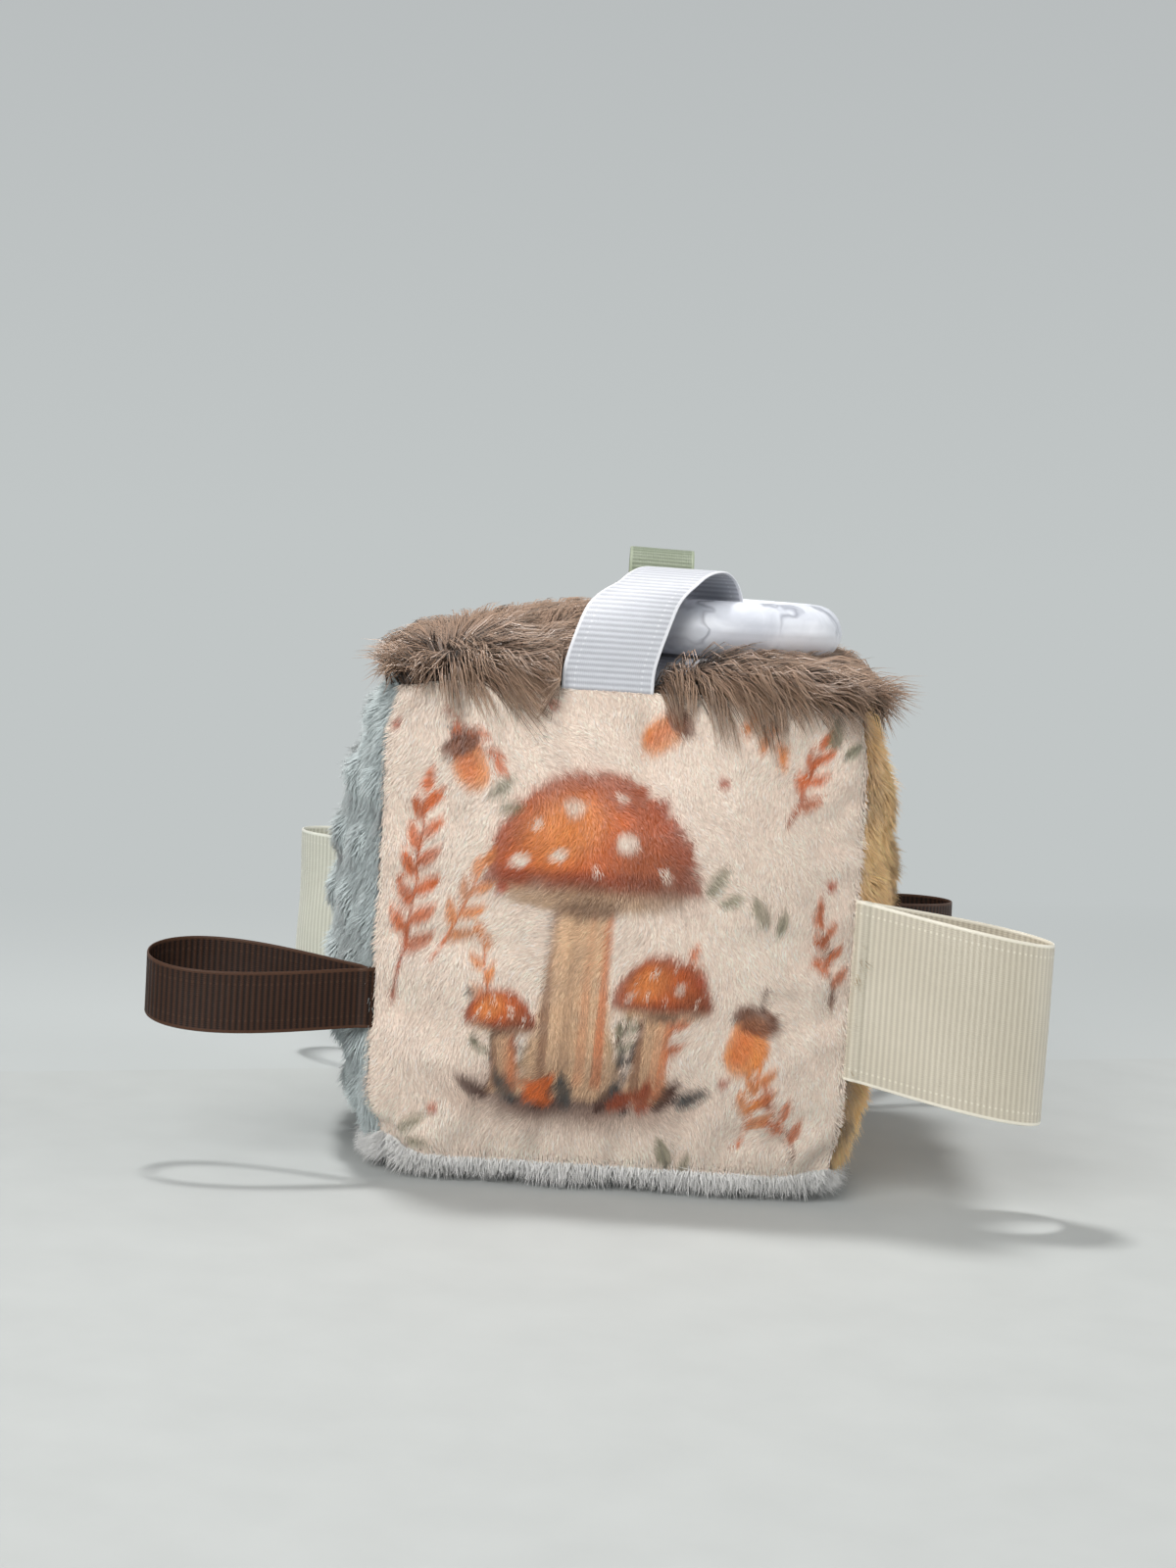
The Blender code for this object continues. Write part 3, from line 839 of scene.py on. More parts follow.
# Pile
def make_strands(name, chosen, lines, widths, upward, facing, roundness, colours, material, cells):
    """Closed tapering fibres, of which some are chosen. Each is three-sided and ends in a point.

    lines has the points of each fibre, the last of them its tip. facing is the way the pile
    as a whole faces there, and roundness how much of its own round form each fibre shows
    over that. cells gives each chosen fibre's place, from 0 to 1, on the map of places
    that each of its corners gets.
    """
    lines, widths, upward, facing, colours = (
        values[chosen] for values in (lines, widths, upward, facing, colours)
    )
    count, steps = lines.shape[:2]
    ahead = np.empty_like(lines)
    ahead[:, :-1] = lines[:, 1:] - lines[:, :-1]
    ahead[:, -1] = ahead[:, -2]
    ahead[:, 1:-1] += ahead[:, :-2]
    ahead = unit(ahead)
    across = unit(np.cross(ahead, upward[:, None]))
    over = np.cross(across, ahead)
    points, lift = [], []
    for step in range(steps - 1):
        reach = widths[:, step, None] / 2
        for side_share, over_share, tilt in ((-1, 0, 0.8), (1, 0, -0.8), (0, 1, 0)):
            aside = across[:, step] * side_share + over[:, step] * over_share
            points.append(lines[:, step] + aside * reach)
            lift.append(over[:, step] - across[:, step] * tilt)
    points = np.stack(points + [lines[:, -1]], axis=1)
    points[..., 2] = np.maximum(points[..., 2], floor_gap)
    sides = ((0, 1), (1, 2), (2, 0))
    pattern = [(0, 1, 2)]
    for low in range(0, 3 * (steps - 2), 3):
        for first, second in sides:
            pattern.append((low + second, low + first, low + 3 + first))
            pattern.append((low + second, low + 3 + first, low + 3 + second))
    low, tip = 3 * (steps - 2), 3 * (steps - 1)
    pattern = np.array(pattern + [(low + second, low + first, tip) for first, second in sides])
    faces = (np.arange(count)[:, None, None] * points.shape[1] + pattern).reshape(-1, 3)
    pile = mesh_from(name, points, faces, material)
    lift = np.stack(lift + [over[:, -1]], axis=1)
    around = [3] * (steps - 1) + [1]
    facing = np.repeat(np.broadcast_to(facing, lines.shape), around, axis=1)
    shading = unit(lift * roundness + facing * (1 - roundness))
    pile.data.normals_split_custom_set_from_vertices(shading.reshape(-1, 3).tolist())
    paint_points(pile, np.repeat(colours, around, axis=1).reshape(-1, 3))
    gaps = [np.diff(np.unique(np.round(cells[:, axis], 6))) for axis in (0, 1)]
    corners = np.array(((0.04, 0.04), (0.96, 0.04), (0.5, 0.96))) * [gap.min() for gap in gaps]
    layer = pile.data.uv_layers.new(name="OFBake")
    spread = np.broadcast_to(cells[:, None, None, :] + corners, (count, len(pattern), 3, 2))
    layer.data.foreach_set("uv", np.ascontiguousarray(spread, dtype=np.float32).ravel())
    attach(pile, "block")
    return pile


def scattered(rows, reach, seed):
    """Fibre roots: one in each cell of a square, off its middle, and the cell's own corner."""
    rng = np.random.default_rng(seed)
    column, row = (index.ravel() for index in np.indices((rows, rows)))
    u, v = ((index + 0.5 + rng.uniform(-0.48, 0.48, rows * rows)) / rows * 2 - 1 for index in (column, row))
    return u * reach, v * reach, np.stack((column, row), -1) / rows, rng


# Triangles of a short fibre, and the most for one piece
short_fibre_faces = 4
piece_faces = 199000

# Short pile: fibre rows each way, length, width, lean off the cloth, nap angle, its swirl,
# how tufted it is, and how round each fibre looks
PILE = {
    "front": (300, 1.8, 0.26, 18, -92, 60, 0.10, 0.45),
    "back": (190, 2.1, 0.36, 18, -86, 46, 0.10, 0.45),
    "left": (196, 3.4, 0.38, 24, -96, 60, 0.30, 0.75),
    "right": (196, 4.3, 0.38, 28, -78, 70, 0.45, 0.6),
    "bottom": (190, 4.4, 0.36, 22, None, 50, 0.35, 0.3),
}


def bottom_edge(u, v, x, y, ahead, normal, size, rng):
    """Fluffs the pile out sideways along the bottom's edge: its directions, sizes and normals."""
    rim_near = np.maximum(np.abs(u), np.abs(v))
    border = smooth(rim_near, 0.80, 0.96)
    level = unit(np.stack((np.where(np.abs(u) > np.abs(v) - 0.03, np.sign(u), 0),
                           np.where(np.abs(v) > np.abs(u) - 0.03, -np.sign(v), 0), 0 * u), axis=-1))
    loose = rng.normal(0, 0.4, (len(u), 3)) * (1, 1, 0.6) - (0, 0, 0.6)
    inner, outer = (1 - border)[:, None], border[:, None]
    ahead = unit(ahead * inner + unit(0.75 * level + loose) * outer)
    fringe = (1 - rim_near) * half * 0.8 + (1.8 + 5.0 * cloud(x, y, 9, 24)) * mm
    size = size * (1 - border) + fringe * border * rng.uniform(0.75, 1.15, len(u))
    return ahead, size, unit(normal * inner + unit(level + (0, 0, 0.5)) * outer)


def make_pile(name, material):
    rows, length, width, lean, nap, swirl, tufting, roundness = PILE[name]
    u, v, cells, rng = scattered(rows, 0.995, 100 + rows + len(name))
    if name == "bottom":
        u, v = (1.45 * value - 0.45 * value**3 for value in (u, v))
    place, normal, side, rise = surface(name, u, v)
    x, y = u * half_in_mm, v * half_in_mm
    turn = swirl * (cloud(x, y, 17, 21) + 0.5 * cloud(x, y, 5, 22) - 0.75) * 2
    angle = np.arctan2(v, u) + np.radians(turn) if nap is None else np.radians(nap + turn)
    angle = angle + rng.normal(0, 0.22, len(u))
    edge_u, edge_v = (smooth(np.abs(value), 0.965, 1.0) * np.sign(value) for value in (u, v))
    flow = unit(np.stack((np.cos(angle) + edge_u * 0.6, np.sin(angle) + edge_v * 0.6), -1))
    lay = side * flow[:, :1] + rise * flow[:, 1:]
    tuft = cloud(x, y, 2.6, 23)
    raised = np.radians(lean + 16 * rng.standard_normal(len(u)) * 0.5 + 26 * tufting * (tuft - 0.5) * 2)
    size = length * mm * rng.uniform(0.7, 1.15, len(u)) * (1 + tufting * (tuft - 0.5))
    ahead = lay * np.cos(raised)[:, None] + normal * np.sin(raised)[:, None]
    facing = normal
    if name == "bottom":
        ahead, size, facing = bottom_edge(u, v, x, y, ahead, normal, size, rng)
    root = place - normal * 0.15 * mm
    lines = np.stack((root, root + ahead * size[:, None]), axis=1)
    widths = (width * mm * rng.uniform(0.7, 1.2, len(u)))[:, None]
    tip_u, tip_v = (np.clip(value + flow[:, axis] * np.cos(raised) * size / half, -1, 1)
                    for axis, value in enumerate((u, v)))
    streak = cloud((x * flow[:, 1] - y * flow[:, 0]) / 0.55, (x * flow[:, 0] + y * flow[:, 1]) / 3.2, 1, 25)
    patch = cloud(x, y, 7, 26)
    shade = 1 + 0.07 * rng.standard_normal(len(u)) + 0.36 * (streak - 0.5) + 0.14 * (patch - 0.5)
    shade = shade[:, None]
    # Roots dimmed, and darker on the plain faces: painted shade among the fibres. Tips lighter on the plain
    # faces, as painted light, and about one fibre in eight brightened as a painted glint.
    glint = np.where(rng.random(len(u)) < 0.12, 1.4, 1.0)[:, None]
    low = panel_dye(name, u, v, 0.15) * shade * 0.92
    high = panel_dye(name, tip_u, tip_v, 0.9) * shade * glint
    colours = np.clip(np.stack((low, high), axis=1), 0, 0.95)
    parts = math.ceil(len(u) * short_fibre_faces / piece_faces)
    for index in range(parts):
        chosen = (cells[:, 1] >= index / parts) & (cells[:, 1] < (index + 1) / parts)
        label = name + "_pile" + (f"_{index + 1}" if parts > 1 else "")
        own_cells = cells[chosen] * (1, parts) - (0, index)
        pile = make_strands(label, chosen, lines, widths, normal, facing[:, None], roundness,
                            colours, material, own_cells)


# Long fur on the top
fur_rows = 210
fur_reach = 0.975
lock_rows = 42
lock_reach = 0.98
fur_steps = np.array((0.0, 0.3, 0.66, 1.0))
fur_length = 15.5 * mm
bend_reach = 47.6 * mm
lock_pull = 0.55
# Hair colours from root to tip: the darker roots are partly painted shade between the hairs, the lighter
# tips partly painted sheen.
fur_root_and_shade = srgb(46, 33, 27)
fur_high = srgb(145, 117, 97)
fur_tip_and_sheen = srgb(162, 136, 115)


def white_line(back, turned_back):
    """The middle of the white ribbon at distances back from its seam, and its turn there."""
    skew = smooth(turned_back, skew_start, skew_start + skew_length)
    x = white_place + back * skew * math.sin(white_heading)
    y = -half + back * (1 - skew * (1 - math.cos(white_heading)))
    return x, y, white_heading * skew


def white_band(y):
    """Middle and half width, along X, of the strip of the top that the white ribbon covers."""
    back = np.linspace(0, 36, 145) * mm
    line_x, line_y, turn = white_line(back, back)
    return np.interp(y, line_y, line_x), np.interp(y, line_y, white_width / 2 / np.cos(turn))


def ribbon_lying(x, y):
    """How high over the seam the ribbon lies where it crosses the top face."""
    swell = FACES["top"][0] * crown_share(x, rim) * crown_share(y, rim)
    return swell + touch_gap + ribbon_thickness / 2 + 0.1 * mm


def side_swell(direction_x, direction_y, x, y, below):
    """How far the side faces stand out past the top seam, at a depth below it."""
    front = np.where(direction_y < 0, FACES["front"][0], FACES["back"][0]) * crown_share(x)
    flank = np.where(direction_x < 0, FACES["left"][0], FACES["right"][0]) * crown_share(y)
    return (front * np.abs(direction_y) + flank * np.abs(direction_x)) * crown_share(half - below)


def beside_ribbon(x, y):
    """1 just right of the white ribbon's place in the seam, where the fur stands against it."""
    return smooth(x, 3 * mm, 5 * mm) * smooth(x, 17 * mm, 10 * mm) * smooth(y, -36 * mm, -41 * mm)


def fur_flow(x, y):
    """The way the fur is combed: out from a whorl, and to the right along the front."""
    u = x / half
    v = y / half
    near_left = smooth(u, -0.68, -0.95)
    near_front = smooth(v, -0.60, -0.95)
    flow_x = (0.45 + 0.6 * (u + 0.66)) * (1 - near_left) - 0.8 * near_left + 0.5 * smooth(u, 0.80, 0.97)
    flow_y = 0.15 + 0.6 * (v + 0.78)
    flow_y = flow_y - (0.6 + 0.9 * smooth(u, -0.6, -0.3) + 0.4 * smooth(u, -0.1, 0.2)) * near_front
    flow_y = flow_y + 0.8 * smooth(v, 0.6, 0.95)
    flow_x = flow_x * (1 - 0.7 * beside_ribbon(x, y))
    turn = np.radians(70 * (cloud(x, y, 13 * mm, 31) - 0.5) + 40 * (cloud(x, y, 5 * mm, 32) - 0.5))
    return unit(turned(np.stack((flow_x, flow_y), -1), turn * (1 - 0.6 * near_front)))


def nearest_lock(u, v, lock_u, lock_v):
    """The lock that each hair of the fur belongs to: the one whose root is nearest."""
    nearest = np.zeros(len(u), dtype=int)
    best = np.full(len(u), 1e9)
    column, row = (
        np.clip(((value / lock_reach + 1) / 2 * lock_rows).astype(int), 0, lock_rows - 1) for value in (u, v)
    )
    for step_column, step_row in np.ndindex(3, 3):
        near_column = np.clip(column + step_column - 1, 0, lock_rows - 1)
        index = near_column * lock_rows + np.clip(row + step_row - 1, 0, lock_rows - 1)
        away = np.hypot(u - lock_u[index], v - lock_v[index])
        nearest = np.where(away < best, index, nearest)
        best = np.minimum(best, away)
    return nearest


def bent_over_edge(mixed, height, share, lifted):
    """Where fur combed flat comes to lie: up off the cloth, and down past the top seam."""
    clamped = np.clip(mixed, -bend_reach, bend_reach)
    over = mixed - clamped
    reach = np.linalg.norm(over, axis=1)
    way = over / np.maximum(reach, 1e-9)[:, None]
    base = sample_grid("top", *clamped.T / half)[:, 2] + relief("top", *clamped.T / half)
    radius = 1.6 * mm + 0.5 * height
    cornered = smooth(np.abs(clamped).sum(axis=1), 1.66 * bend_reach, 1.95 * bend_reach)
    most = np.radians(80 - 85 * cornered * lifted)
    angle = np.minimum(reach / radius, most)
    extra = reach - angle * radius
    out = radius * np.sin(angle) + extra * np.cos(most)
    level = base + height - (radius * (1 - np.cos(angle)) + extra * np.sin(most))
    below = np.clip(top_seam_height - level, 0, 40 * mm)
    past = (half - bend_reach) + side_swell(*way.T, *clamped.T, below) + (0.9 + 1.2 * share) * mm
    out = np.where(level < top_seam_height, np.maximum(out, past), out)
    return np.column_stack((clamped + way * out[:, None], level))


def keep_clear(spot, root):
    """Moves one row of the hairs' points off the white ribbon and out of the ring."""
    x, y, z = spot.T
    middle, wide = white_band(y)
    side = np.where(root[:, 0] < white_band(root[:, 1])[0], -1, 1)
    inside = ((x - middle) * side < wide + 0.3 * mm) & (y < -half + 27 * mm)
    edge = middle + side * (wide - np.where(y < -half + 4.5 * mm, -0.3 * mm, 6 * mm))
    x[:] = np.where(inside & ((x - edge) * side < 0), edge, x)
    z[:] = np.where(inside, np.maximum(z, ribbon_lying(x, y) + top_seam_height + 0.6 * mm), z)
    flat = spot[:, :2] - ring_centre[:2]
    away = np.hypot(*flat.T)
    across = away - ring_radius
    over = z - ring_centre[2]
    rise = np.where(over > 4.5 * mm, -0.5 * mm, -np.abs(over))
    reach = np.hypot(across, rise)
    clear = ring_tube + 0.4 * mm
    hit = (reach < clear) & (z < ring_centre[2] + ring_tube)
    scale = clear / np.maximum(reach, 1e-9)
    moved = (ring_radius + across * scale) / np.maximum(away, 1e-9)
    spot[hit] = (ring_centre + np.column_stack((flat * moved[:, None], rise * scale)))[hit]


def make_fur(material):
    u, v, cells, rng = scattered(fur_rows, fur_reach, 77)
    lock_u, lock_v, _, lock_rng = scattered(lock_rows, lock_reach, 78)
    count = len(u)
    locks = len(lock_u)
    nearest = nearest_lock(u, v, lock_u, lock_v)
    own = np.stack((u, v), -1) * half
    lock = np.stack((lock_u, lock_v), -1)[nearest] * half
    x, y = own.T
    own_flow = fur_flow(x, y)
    lock_flow = turned(fur_flow(*lock.T), lock_rng.normal(0, 0.22, locks)[nearest])
    size = fur_length * lock_rng.uniform(0.8, 1.15, locks)[nearest] * rng.uniform(0.72, 1.1, count)
    front = smooth(y, -36 * mm, -46 * mm)
    left_front = smooth(x, -50 * mm, -38 * mm) * front * (x < white_place)
    corner = smooth(np.abs(u) + np.abs(v), 1.5, 1.88)
    size = size * (1 + 0.38 * np.maximum(smooth(x, 2 * mm, 12 * mm) * front, left_front))
    size = size * (1 - 0.15 * smooth(u, -0.75, -0.95)) * (1 - 0.32 * corner)
    tall = lock_rng.uniform(7.0, 10.6, locks)[nearest] * mm * (1 + 0.1 * corner)
    lifted = rng.uniform(0.0, 1.0, count)
    tall = tall * rng.uniform(0.7, 1.15, count) * (1 + 0.2 * beside_ribbon(x, y))
    tall = tall * (1 - 0.15 * smooth(x, 14 * mm, 20 * mm) * smooth(y, -20 * mm, -32 * mm))
    tall = tall * (1 - 0.25 * left_front)
    scatter = rng.normal(0, 0.5 * mm, (count, 2))
    points = []
    for share in fur_steps:
        straight = own + own_flow * (size * share)[:, None]
        gathered = lock + (own - lock) * (1 - share) * 0.8 + lock_flow * (size * share)[:, None]
        mixed = straight + (gathered - straight) * lock_pull * share + scatter * share
        height = tall * (1 - (1 - share) ** 2.0) * (1 - 0.22 * share)
        points.append(bent_over_edge(mixed, height, share, lifted))
    lines = np.stack(points, axis=1)
    lines[:, 0, 2] -= 0.3 * mm
    for step in range(1, len(fur_steps)):
        keep_clear(lines[:, step], own)
    tone = lock_rng.uniform(-0.17, 0.17, locks)[nearest] + rng.normal(0, 0.15, count)
    # Root to tip: painted shade at the roots and painted sheen at the tips, over the hairs' own browns.
    dyes = (fur_root_and_shade, fur_root_and_shade * 0.4 + fur_high * 0.6, fur_high, fur_tip_and_sheen)
    colours = np.clip(np.stack([dye_and_shading * (1 + tone)[:, None] for dye_and_shading in dyes], axis=1), 0.008, 0.9)
    widths = (0.27 * mm * rng.uniform(0.75, 1.2, count))[:, None] * (1.0, 0.95, 0.7)
    upward = (0.0, 0.0, 1.0) + 0.35 * rng.standard_normal((count, 3))
    spread_out = lines[:, :, :2] / half
    beyond = np.maximum(np.abs(spread_out) - 0.93, 0) * np.sign(spread_out) * 9
    facing = unit(np.concatenate((beyond, np.full((*beyond.shape[:2], 1), 0.8)), axis=2))
    middle, wide = white_band(y)
    kept = (np.abs(x - middle) >= wide - 0.4 * mm) | (y >= -half + 26 * mm)
    quarter = (x > 0) * 2 + (y > 0)
    for index, label in enumerate(("front_left", "back_left", "front_right", "back_right")):
        chosen = kept & (quarter == index)
        part = np.clip((cells[chosen] - cells[chosen].min(axis=0)) * 2, 0, 0.99)
        fur = make_strands("top_fur_" + label, chosen, lines, widths, upward, facing, 0.55, colours,
                           material, part)


# Ribbons
def distances_along(path):
    steps = np.linalg.norm(np.diff(path, axis=0), axis=1)
    return np.concatenate(((0,), np.cumsum(steps)))


def ribbon_columns(width):
    """Places across a ribbon, closer together at its woven edges."""
    edge = np.array((0, 0.25, 0.5, 0.9)) * mm
    inner = np.linspace(column_pitch, width - column_pitch, max(4, round(width / column_pitch)))
    return np.concatenate((edge, inner, width - edge[::-1])) - width / 2


def make_ribbon(name, centre, width):
    """A ribbed ribbon along rows of points, thickened and closed.

    centre has one row of points for each step along the ribbon and one column for each
    place across it. The name is also that of the nodes it stands for.
    """
    rows, columns = centre.shape[:2]
    along = distances_along(centre[:, columns // 2])
    outward = unit(np.cross(np.gradient(centre, axis=0), np.gradient(centre, axis=1)))
    places = ribbon_columns(width)
    inset = width / 2 - np.abs(places)
    rib = np.cos(math.tau * along / rib_pitch)[:, None]
    woven = smooth(inset, 0.3 * mm, 0.8 * mm)[None, :]
    thick = ribbon_thickness / 2 * (0.80 + 0.22 * rib * woven + 0.10 * (1 - woven))
    thick = (thick * np.where(inset < 0.1 * mm, 0.45, 1.0)[None, :])[..., None]
    points = np.concatenate([(centre + outward * side).reshape(-1, 3) for side in (thick, -thick)])
    index = np.arange(rows * columns).reshape(rows, columns)
    under = index + rows * columns
    faces = np.concatenate((
        grid_quads(index),
        quads(under[:-1, :-1], under[:-1, 1:], under[1:, 1:], under[1:, :-1]),
        quads(index[:-1, 0], under[:-1, 0], under[1:, 0], index[1:, 0]),
        quads(index[:-1, -1], index[1:, -1], under[1:, -1], under[:-1, -1]),
        quads(index[0, :-1], index[0, 1:], under[0, 1:], under[0, :-1]),
        quads(index[-1, :-1], under[-1, :-1], under[-1, 1:], index[-1, 1:]),
    ))
    kind = name.split("_")[0]
    ribbon = mesh_from(name + "_ribbon", points, faces, grosgrain[kind])
    face_outward(ribbon)
    bpy.ops.object.shade_smooth_by_angle(angle=math.radians(50))
    for key, value in (("along", along[:, None]), ("across", places), ("inset", inset)):
        layer = ribbon.data.attributes.new(key, "FLOAT", "POINT")
        value = np.broadcast_to(value, (rows, columns)).ravel()
        layer.data.foreach_set("value", np.tile(value, 2).astype(np.float32))
    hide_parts(name + "_loop", name + "_tail")
    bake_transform(ribbon)


def even_rows(path):
    """The same path in short equal steps, several to each rib."""
    along = distances_along(path[:, :2])
    return read_at(np.linspace(0, along[-1], int(along[-1] / rib_pitch * rib_rows)), along, path)


def loop_rows(length, opening):
    """A pear-shaped loop with both its sewn ends, as distance out, distance across and lean."""
    angles = np.linspace(0, math.tau, 721)
    shape = np.sin(angles) * np.abs(np.sin(angles / 2)) ** loop_power
    out = length * (1 - np.cos(angles)) / 2
    across = opening / 2 * shape / shape.max() + strand_half_pitch * np.cos(angles / 2)
    leaning = smooth(out, 0, 3 * mm)
    loop = np.stack((out, across, leaning), axis=1)
    first = np.array(((-tail_depth, strand_half_pitch, 0),))
    last = np.array(((-tail_depth, -strand_half_pitch, 0),))
    return even_rows(np.concatenate((first, loop, last)))


def make_tag(name, width, length, opening, point, along, outward, lean, droop, twist):
    """A loop that stands off its seam, with its two ends sewn inside it."""
    outward = unit(outward)
    up = np.cross(along, outward)
    lean = math.radians(lean)
    out, across, leaning = (column[:, None] for column in loop_rows(length, opening).T)
    places = ribbon_columns(width)[None, :]
    turn = lean * leaning
    wave = 0.25 * mm * np.sin(out / (9 * mm) + places / (5 * mm)) * leaning
    seam_wise = places + leaning * (twist * across - droop * np.maximum(out, 0))
    out_wise = out * np.cos(turn) - (across + wave) * np.sin(turn)
    up_wise = out * np.sin(turn) + (across + wave) * np.cos(turn)
    centre = (point + seam_wise[..., None] * along + out_wise[..., None] * outward
              + up_wise[..., None] * up)
    make_ribbon(name, centre, width)


def make_white_ribbon():
    """Rises from the seam, curls over the ring and comes back under it, flat on the top."""
    ring_bow = ring_radius - math.sqrt(ring_radius**2 - (white_width / 2) ** 2)
    curl_radius = ring_tube + math.hypot(ring_bow / 2, curl_lift) + touch_gap + ribbon_thickness / 2
    curl_reach = wrap_reach + ring_bow / 2
    crest = ring_height + curl_lift - top_seam_height
    pitch = strand_half_pitch / math.sqrt(2)
    sunk = tail_depth / math.sqrt(2)
    path = [(sunk - pitch, -sunk - pitch, 0)]
    for angle in np.linspace(0, math.pi / 2, 60):
        back = -pitch + (curl_reach + pitch) * (1 - math.cos(angle))
        path.append((back, -pitch + (crest + curl_radius + pitch) * math.sin(angle), 0))
    for angle in np.linspace(math.pi / 2, -math.pi / 2, 80)[1:]:
        path.append((curl_reach + curl_radius * math.cos(angle), crest + curl_radius * math.sin(angle), 0))
    for back in np.linspace(curl_reach, 2.7 * mm, 60)[1:]:
        fall = min(1, (curl_reach - back) / drape_length)
        path.append((back, (crest - curl_radius) * (1 - smooth(fall)), 1))
    path += [(1.0 * mm, 0.55 * mm, 0), (pitch, pitch, 0), (sunk + pitch, -sunk + pitch, 0)]
    back, height, draped = (column[:, None] for column in even_rows(np.array(path)).T)
    across = ribbon_columns(white_width)[None, :]
    x, y, turn = white_line(back, np.where(height < -0.3 * mm, 0, back))
    x = x + across * np.cos(turn)
    y = y - across * np.sin(turn)
    height = np.where(draped > 0.5, np.maximum(height, ribbon_lying(x, y)), height)
    slide = crest_slide * smooth(height, 2 * mm, 17 * mm) * (draped < 0.5)
    x = x + slide * heading_direction[1]
    y = y - slide * heading_direction[0]
    centre = np.stack((x, y, top_seam_height + height + 0 * x), axis=-1)
    make_ribbon("white", centre, white_width)


# The ring
def make_ring(material):
    """A turned ring with the fine raised line that its mould leaves round the outside."""
    bpy.ops.mesh.primitive_torus_add(
        major_segments=160, minor_segments=56, major_radius=ring_radius, minor_radius=ring_tube,
        location=tuple(ring_centre),
    )
    ring = bpy.context.object
    ring.name = "marbled_ring"
    bpy.ops.object.transform_apply(location=True, rotation=False, scale=False)
    centre = Vector(ring_centre)
    for vert in ring.data.vertices:
        flat = Vector((vert.co.x - centre.x, vert.co.y - centre.y, 0))
        on_outside = flat.length > ring_radius + 0.9 * ring_tube
        if on_outside and abs(vert.co.z - centre.z) < 0.2 * mm:
            vert.co += flat.normalized() * mould_line
    ring.data.materials.append(material)
    bpy.ops.object.shade_smooth()
    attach(ring, "ring")
    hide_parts("teething_ring")


# Camera, floor and light
def make_camera():
    data = bpy.data.cameras.new("camera")
    data.lens = 57.15
    data.sensor_width = 36
    data.clip_start = 0.01
    data.clip_end = 50
    turn = Matrix.Rotation(camera_tilt, 4, "X") @ Matrix.Rotation(camera_roll, 4, "Z")
    bpy.context.scene.camera = add_object("camera", data, Matrix.Translation(camera_place) @ turn)


def blend_surfaces(tree, factor, first, second, output):
    """Sends one surface to the output, and the other by a factor instead."""
    mixed = add_node(tree, "ShaderNodeMixShader", {0: factor, 1: first, 2: second}).outputs[0]
    tree.links.new(mixed, tree.nodes[output].inputs["Surface"])


def seen_ray(tree):
    """1 for rays that see the background: straight, mirrored or through something clear."""
    path = add_node(tree, "ShaderNodeLightPath").outputs
    straight = calc(tree, "MAXIMUM", path["Is Camera Ray"], path["Is Glossy Ray"])
    return calc(tree, "MAXIMUM", straight, path["Is Transmission Ray"])


def make_floor():
    bpy.ops.mesh.primitive_plane_add(size=24)
    floor = bpy.context.object
    floor.name = "floor"
    material, tree, place = new_material("pale_floor")
    parts = add_node(tree, "ShaderNodeSeparateXYZ", {0: place}).outputs
    depth = calc(tree, "SUBTRACT", parts["Y"], calc(tree, "MULTIPLY", parts["X"], wall_slant))
    away = add_node(tree, "ShaderNodeVectorMath", {0: place}, operation="LENGTH").outputs["Value"]
    beyond = calc(tree, "MAXIMUM", ramp(tree, away, 0.5, 1.3),
                  ramp(tree, depth, wall_line + 0.02, wall_line + 0.32))
    speckle = ramp(tree, noise(tree, place, 60, 4), 0.3, 0.7)
    pale = mix_colour(tree, speckle, floor_colour, floor_colour_high)
    behind = ramp(tree, depth, wall_line - 0.6 * mm, wall_line + 0.6 * mm)
    finish_shader(material, Base_Color=mix_colour(tree, behind, pale, wall_base_colour), Roughness=0.75)
    wall = add_node(tree, "ShaderNodeEmission", {"Color": wall_colour}).outputs[0]
    shown = calc(tree, "MULTIPLY", beyond, seen_ray(tree))
    blend_surfaces(tree, shown, tree.nodes["Principled BSDF"].outputs[0], wall, "Material Output")
    floor.data.materials.append(material)


def make_world():
    world = bpy.data.worlds.new("studio")
    bpy.context.scene.world = world
    world.use_nodes = True
    tree = world.node_tree
    ambient = tree.nodes["Background"]
    set_inputs(tree, ambient, {"Color": ambient_colour, "Strength": ambient_strength})
    direction = add_node(tree, "ShaderNodeTexCoord").outputs["Generated"]
    height = add_node(tree, "ShaderNodeSeparateXYZ", {0: direction}).outputs["Z"]
    colour = mix_colour(tree, ramp(tree, height, 0, 0.3), wall_colour, wall_colour_high)
    backdrop = add_node(tree, "ShaderNodeBackground", {"Color": colour}).outputs[0]
    blend_surfaces(tree, seen_ray(tree), ambient.outputs[0], backdrop, "World Output")


def add_lamp(name, place, size, power, colour):
    data = bpy.data.lights.new(name, "AREA")
    data.shape = "SQUARE"
    data.size = size
    data.energy = power
    data.color = colour
    direction = Vector(lamp_target) - Vector(place)
    turn = direction.to_track_quat("-Z", "Y").to_matrix().to_4x4()
    add_object(name, data, Matrix.Translation(place) @ turn)


# Places, sizes and colours of the set
camera_place = (-7.8 * mm, -0.563, 0.134)
camera_tilt = math.radians(90 - 5.4)
camera_roll = math.radians(3.7)
wall_line = 78 * mm
wall_slant = 0.368
wall_base_colour = srgb(182, 187, 188)
wall_colour = srgb(193, 198, 198)
wall_colour_high = srgb(182, 186, 187)
floor_colour = srgb(178, 182, 182)
floor_colour_high = srgb(182, 186, 186)
ambient_colour = (0.97, 0.99, 1.0)
ambient_strength = 0.20
lamp_target = (0, 0, 0.05)

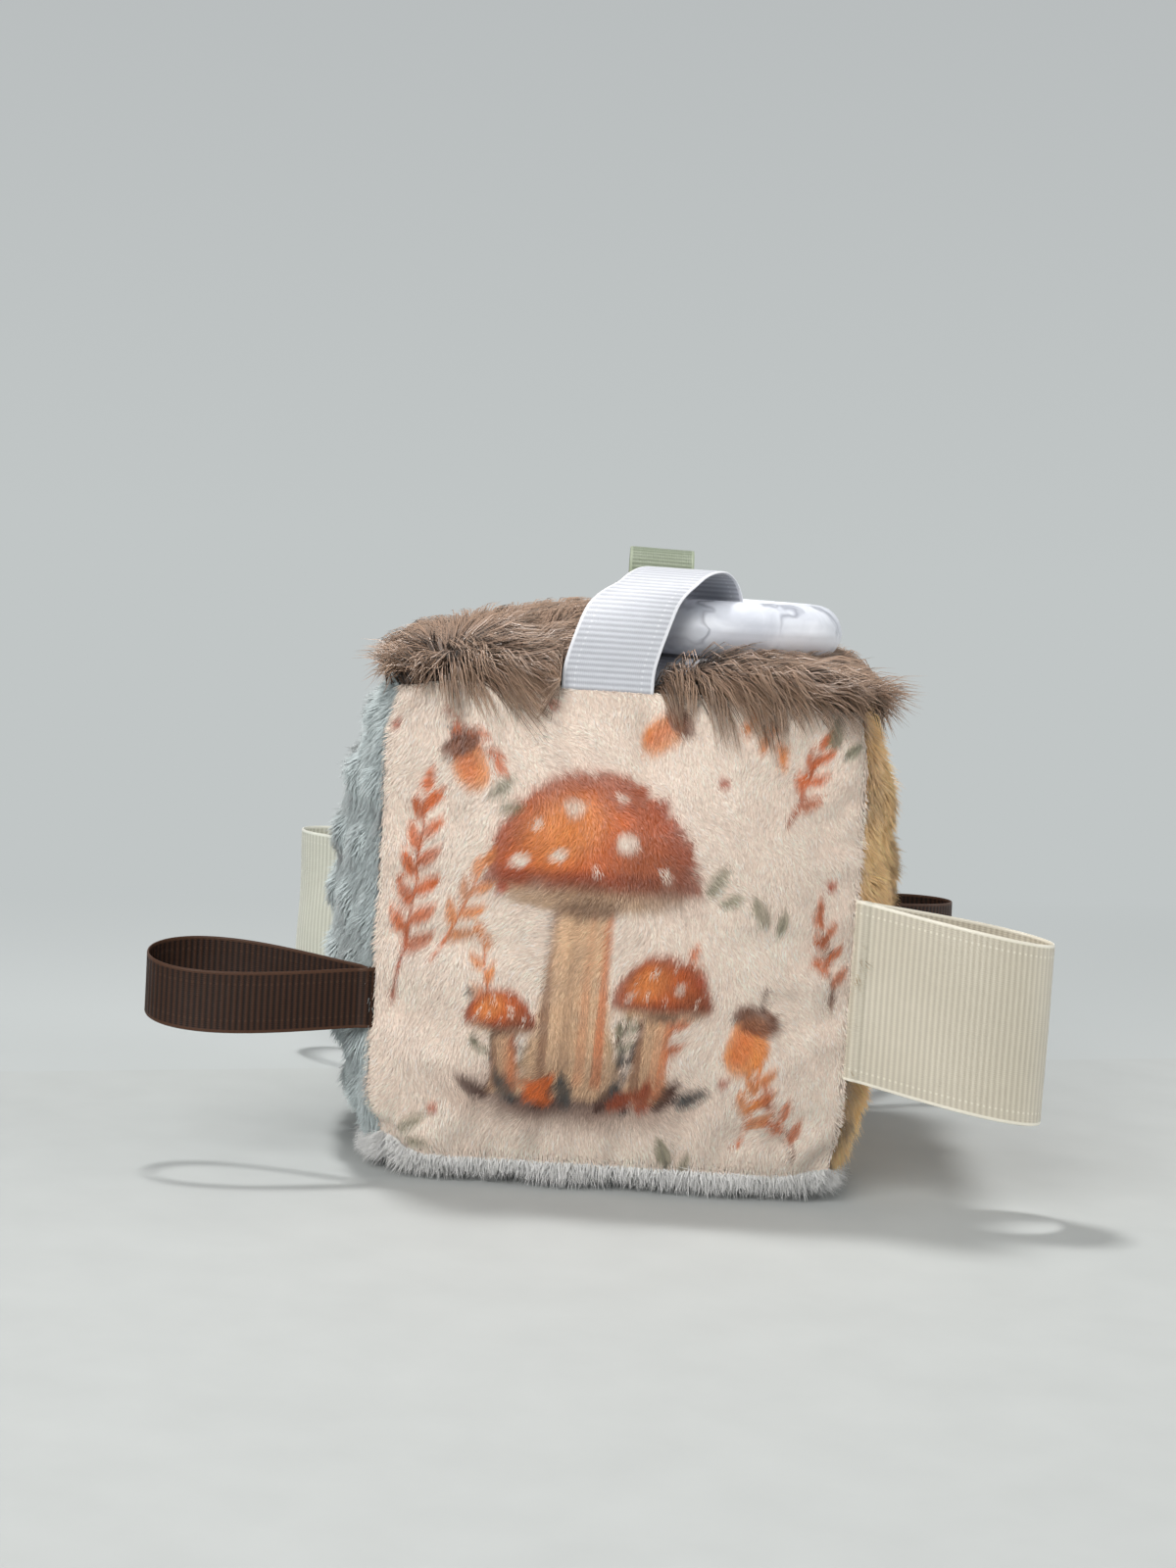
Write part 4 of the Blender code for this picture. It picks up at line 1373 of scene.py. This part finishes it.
bpy.context.scene.view_settings.view_transform = "Standard"
make_camera()
make_floor()
make_world()
add_lamp("overhead", (-0.17, 0.12, 0.93), 0.10, 5.7, (1.0, 0.985, 0.96))
add_lamp("front_fill", (-0.50, -1.16, 0.88), 0.9, 18.2, (1.0, 0.98, 0.95))
add_lamp("side_fill", (1.15, 0.05, 0.50), 0.8, 6.4, (1.0, 0.99, 0.97))

knit_ground = knit_material("knitted_ground")
block_grids = stuff_block()
# How the depths of each plush are tinted, its roughness and its sheen
PLUSH = {
    "printed_plush": ((0.90, 0.86, 0.83), 0.42, 0.5),
    "blue_plush": ((0.66, 0.70, 0.72), 0.5, 0.4),
    "camel_plush": ((0.66, 0.56, 0.46), 0.5, 0.35),
    "white_plush": ((0.95, 0.95, 0.95), 0.55, 1.0),
    "brown_fur": ((0.5, 0.45, 0.42), 0.42, 0.08),
}
plush = {name: pile_material(name, *looks) for name, looks in PLUSH.items()}
for face in FACES:
    make_panel(face)
for face in PILE:
    make_pile(face, plush[SLOTS[face]])
make_fur(plush["brown_fur"])

# The colours of each ribbon's ribs, valleys (darkened as painted shade) and edge, then its roughness, sheen
# and gloss
GROSGRAIN = {
    "brown": (((62, 38, 25), (26, 14, 9), (74, 49, 35)), 0.5, 0.02, 0.22),
    "cream": (((210, 203, 186), (190, 182, 165), (236, 231, 216)), 0.38, 0.25),
    "ivory": (((216, 217, 204), (190, 190, 176), (226, 227, 216)), 0.5, 0.25),
    "sage": (((128, 138, 117), (99, 109, 89), (138, 148, 126)), 0.5, 0.2),
    "white": (((210, 213, 221), (180, 183, 192), (230, 232, 238)), 0.45, 0.2),
}
grosgrain = {name: grosgrain_material(name, *looks) for name, looks in GROSGRAIN.items()}

make_tag("brown_front", 12.7 * mm, 47 * mm, 18 * mm, (-half, -half, 38 * mm), (0, 0, 1), (-1, -1, 0),
         -45, -0.02, -0.22)
make_tag("brown_back", 12.7 * mm, 47 * mm, 18 * mm, (half, half, 44.5 * mm), (0, 0, 1), (1, 1, 0),
         -5, 0.03, 0)
make_tag("cream", 38 * mm, 41 * mm, 17 * mm, (half, -half, 46 * mm), (0, 0, 1), (1, -1, 0),
         45, 0.158, 0)
make_tag("ivory", 38 * mm, 39 * mm, 17 * mm, (-half, half, 39 * mm), (0, 0, 1), (-1, 1, 0),
         0, 0, 0)
make_tag("sage", 16 * mm, 33 * mm, 14 * mm, (7 * mm, half, top_seam_height), (1, 0, 0), (0, 1, 1),
         15, 0, 0)
make_white_ribbon()
make_ring(silicone_material())

stitching = thread_material()
for axis, (low_names, high_names) in enumerate(SEAMS):
    for first in low_names:
        for second in high_names:
            make_seam_thread(axis, first, second, stitching)

fibre = fibre_material()
for slot in bpy.data.objects["fibre_filling"].material_slots:
    slot.material = fibre
